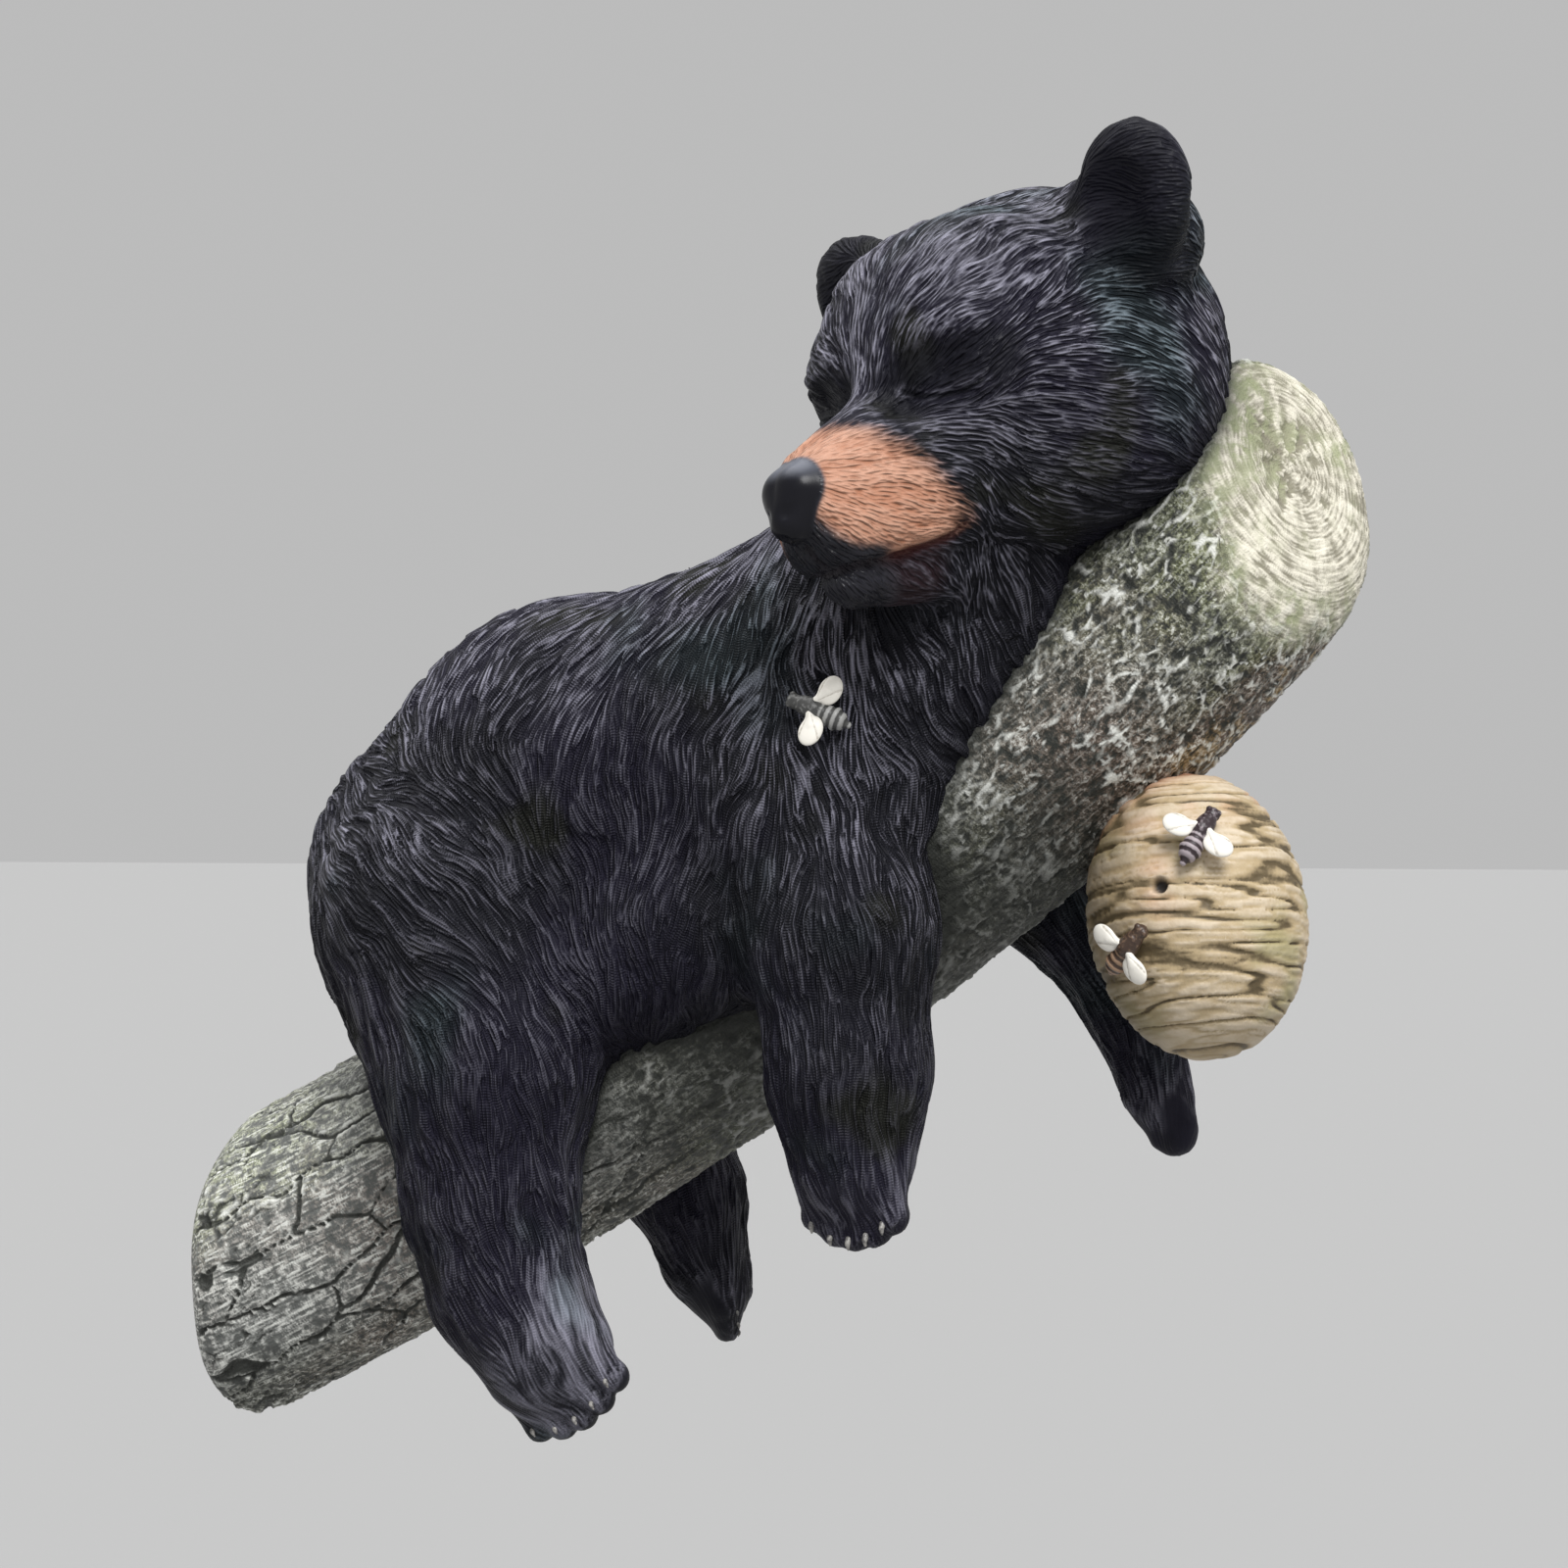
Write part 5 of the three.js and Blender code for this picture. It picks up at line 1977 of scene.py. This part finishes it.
@dataclass
class Bee:
    """A bee that sits on the casting: a banded body, and two thick rounded wings."""

    name: str
    near: Triple
    heading: Triple
    finish: BeeFinish
    lift: float = 0.9
    head: Joint = (6.3, 0, 2.3, 1.9)
    thorax: tuple[Joint, ...] = ((3.6, 0, 2.9, 2.3), (1.2, 0, 3.2, 2.7))
    abdomen: tuple[Joint, ...] = ((-1.8, 0, 2.9, 2.3), (-4.8, 0, 2.5, 2.6), (-8.0, 0, 1.7, 1.0))
    eye: Joint = (7.1, 1.2, 2.9, 0.8)
    wing_centre: Triple = (-1.2, 5.6, 4.4)
    wing_radii: Triple = (2.9, 3.9, 1.1)
    wing_root: tuple[Joint, ...] = ((1.0, 1.8, 4.6, 0.9), (-0.4, 4.4, 4.4, 1.0))
    band: float = 2.0
    skin: float = 0.26

    FUZZ_SEED = 5

    def seat(self, distance: Field) -> Matrix:
        """Where the bee sits: the place on the casting nearest to it, facing its heading.

        Args:
            distance: Distance to the casting.

        Returns:
            The turn and place of the bee.
        """
        def slope(at: Vector) -> Vector:
            """The outward direction of the casting at a point.

            Args:
                at: The point.

            Returns:
                The direction, one long.
            """
            steps = [Vector((0.5, 0, 0)), Vector((0, 0.5, 0)), Vector((0, 0, 0.5))]
            around = np.array([at + step for step in steps] + [at - step for step in steps])
            d = distance(around)
            return Vector(d[:3] - d[3:]).normalized()

        at = Vector(self.near)
        for _ in range(20):
            at = at - slope(at) * float(distance(np.array([at]))[0])
        up = slope(at)
        side = up.cross(Vector(self.heading)).normalized()
        turn = Matrix((side.cross(up), side, up)).transposed().to_4x4()
        return Matrix.Translation(at + up * self.lift) @ turn

    def body(self, p: Points) -> Points:
        """Distance to the body, in the bee's own axes.

        Args:
            p: Points, one a row, in millimetres.

        Returns:
            One distance a point, negative inside.
        """
        d = join(bone(p, *self.thorax), limb(p, self.abdomen, 1.0), 0.8)
        d = join(d, ball(p, self.head), 0.6)
        return join(d, ball(folded(p), self.eye), 0.2)

    def wings(self, p: Points) -> Points:
        """Distance to the wings, in the bee's own axes."""
        q = folded(p)
        return join(egg(q - np.array(self.wing_centre), self.wing_radii), bone(q, *self.wing_root), 1.0)

    def build(self, casting: Field) -> list[bpy.types.Object]:
        """Model the bee and set it on the casting.

        Args:
            casting: Distance to the casting.

        Returns:
            The body and the wings.
        """
        seat = self.seat(casting)
        turn, place = np.array(seat.to_3x3()), np.array(seat.translation)
        made = []
        for clay, finish, slot in (
            (self.build_body(), self.finish, Slot.BEE_BODY),
            (self.build_wings(), WingFinish(), Slot.BEE_WING),
        ):
            clay.points = clay.points @ turn.T + place
            made.append(clay.finish(finish.material(), slot, self.name))
        return made

    def build_body(self) -> Clay:
        """Model the banded body, in the bee's own axes.

        Returns:
            The body.
        """
        bm = bmesh.new()
        for pair in (self.thorax, self.abdomen[:2], self.abdomen[1:], (self.head, self.thorax[0])):
            add_bone(bm, *pair)
        clay = Clay.from_bmesh(self.name + "_body", bm)
        clay.voxels(self.skin)
        clay.settle(self.body, 4)
        p, normals = clay.points, clay.normals
        rings = np.cos(2 * math.pi * (p[:, 0] + 1.0) / self.band)
        on_abdomen = ease(-p[:, 0], 0.6, 1.6)
        fuzz = Grit(self.FUZZ_SEED).lumps(p, 0.8, 2)
        clay.points = p + normals * (on_abdomen * 0.16 * rings + (1 - on_abdomen) * 0.12 * fuzz)[:, None]
        clay.paint("band", on_abdomen * (0.5 + 0.5 * rings) + (1 - on_abdomen) * (0.25 + 0.3 * fuzz))
        return clay

    def build_wings(self) -> Clay:
        """Model the two veined wings, in the bee's own axes.

        Returns:
            The wings.
        """
        bm = bmesh.new()
        for side in (1, -1):
            x, y, z = self.wing_centre
            shape = Matrix.Translation((x, side * y, z)) @ Matrix.Diagonal((*self.wing_radii, 1))
            bmesh.ops.create_icosphere(bm, subdivisions=3, radius=1.0, matrix=shape)
            add_bone(bm, *[(a, side * b, c, r) for a, b, c, r in self.wing_root])
        clay = Clay.from_bmesh(self.name + "_wings", bm)
        clay.voxels(self.skin)
        clay.settle(self.wings, 4)
        p, normals = clay.points, clay.normals
        fan = np.arctan2(p[:, 0] - 1.0, np.abs(p[:, 1]) - 1.0)
        vein = ease(np.cos(9 * fan), 0.75, 1.0) * ease(normals[:, 2], 0.2, 0.6)
        clay.points = p - normals * (0.10 * vein)[:, None]
        clay.paint("vein", 0.55 * vein)
        return clay


# ------------------------------------------------------------------ the studio


@dataclass
class Studio:
    """A pale floor, soft lights and the camera."""

    azimuth: float = math.radians(20)
    distance: float = 1.5
    aim: Triple = (0.1523, 0.0022, 0.1287)
    view_width: float = 0.4
    floor_drop: float = 0.3
    floor_grey: float = 0.34
    world_strength: float = 0.5

    def _sun(self, name: str, towards: Triple, strength: float, softness: float) -> None:
        """Add an even soft light that comes from one side.

        Args:
            name: The light's name.
            towards: The way that it lies in.
            strength: Its strength.
            softness: Its width, in degrees.
        """
        data = bpy.data.lights.new(name, "SUN")
        data.energy = strength
        data.angle = math.radians(softness)
        obj = bpy.data.objects.new(name, data)
        obj.rotation_euler = Vector(towards).to_track_quat("Z", "Y").to_euler()
        bpy.context.scene.collection.objects.link(obj)

    def build(self) -> None:
        """Make the floor, lights, world and camera."""
        scene = bpy.context.scene
        scene.view_settings.view_transform = "Standard"
        bm = bmesh.new()
        bmesh.ops.create_grid(bm, x_segments=8, y_segments=8, size=30)
        mesh = bpy.data.meshes.new("floor")
        bm.to_mesh(mesh)
        bm.free()
        floor = bpy.data.objects.new("floor", mesh)
        floor.location = (0, 0, CAD_BOX[0][2] - self.floor_drop)
        material, _, shader = new_material("pale_floor")
        shader.inputs["Base Color"].default_value = (self.floor_grey,) * 3 + (1,)
        shader.inputs["Roughness"].default_value = 0.9
        shader.inputs["Specular IOR Level"].default_value = 0.1
        mesh.materials.append(material)
        scene.collection.objects.link(floor)
        world = bpy.data.worlds.new("studio")
        world.use_nodes = True
        background = world.node_tree.nodes["Background"]
        background.inputs["Color"].default_value = (1, 1, 1, 1)
        background.inputs["Strength"].default_value = self.world_strength
        scene.world = world
        self._sun("key", (0.45, -0.60, 0.80), 3.4, 28)
        self._sun("top", (-0.35, 0.10, 1.0), 1.4, 50)
        towards = Vector((math.sin(self.azimuth), -math.cos(self.azimuth), 0))
        data = bpy.data.cameras.new("camera")
        data.sensor_width = 36
        data.lens = data.sensor_width * self.distance / self.view_width
        data.clip_end = 100
        camera = bpy.data.objects.new("camera", data)
        camera.location = Vector(self.aim) + towards * self.distance
        camera.rotation_euler = (-towards).to_track_quat("-Z", "Y").to_euler()
        scene.collection.objects.link(camera)
        scene.camera = camera


def bees() -> list[Bee]:
    """The three bees, each with its own paint.

    Returns:
        The bees, from the chest to the side of the hive.
    """
    silver = BeeFinish("bee_paint_silver", (0.060, 0.060, 0.058), (0.340, 0.340, 0.330))
    plum = BeeFinish("bee_paint_plum", (0.030, 0.018, 0.022), (0.360, 0.310, 0.330))
    brown = BeeFinish("bee_paint_brown", (0.050, 0.028, 0.018), (0.300, 0.190, 0.120))
    return [
        Bee("bee_chest", (183, -60, 147.4), (-0.93, 0, 0.36), silver),
        Bee("bee_hive_top", (277, -45, 124), (0.45, 0, 0.89), plum),
        Bee("bee_hive_side", (251.5, -42, 87), (0.7, 0, 0.7), brown),
    ]


def main() -> None:
    """Build the ornament and its studio."""
    Studio().build()
    cub, branch, hive = Cub(), Branch(), Hive()

    def casting(p: Points) -> Points:
        """Distance to the whole casting."""
        wood = join(branch.distance(p), hive.distance(p), 4)
        return join(cub.distance(p), wood, 2.5)

    cub.build(FurFinish(), branch.distance)
    branch.build(BarkFinish(), cub.distance)
    hive.build(HiveFinish(), branch.distance)
    for bee in bees():
        bee.build(casting)
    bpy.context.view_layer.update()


if __name__ == "__main__":
    logging.basicConfig(level=logging.INFO, format="%(message)s")
    main()
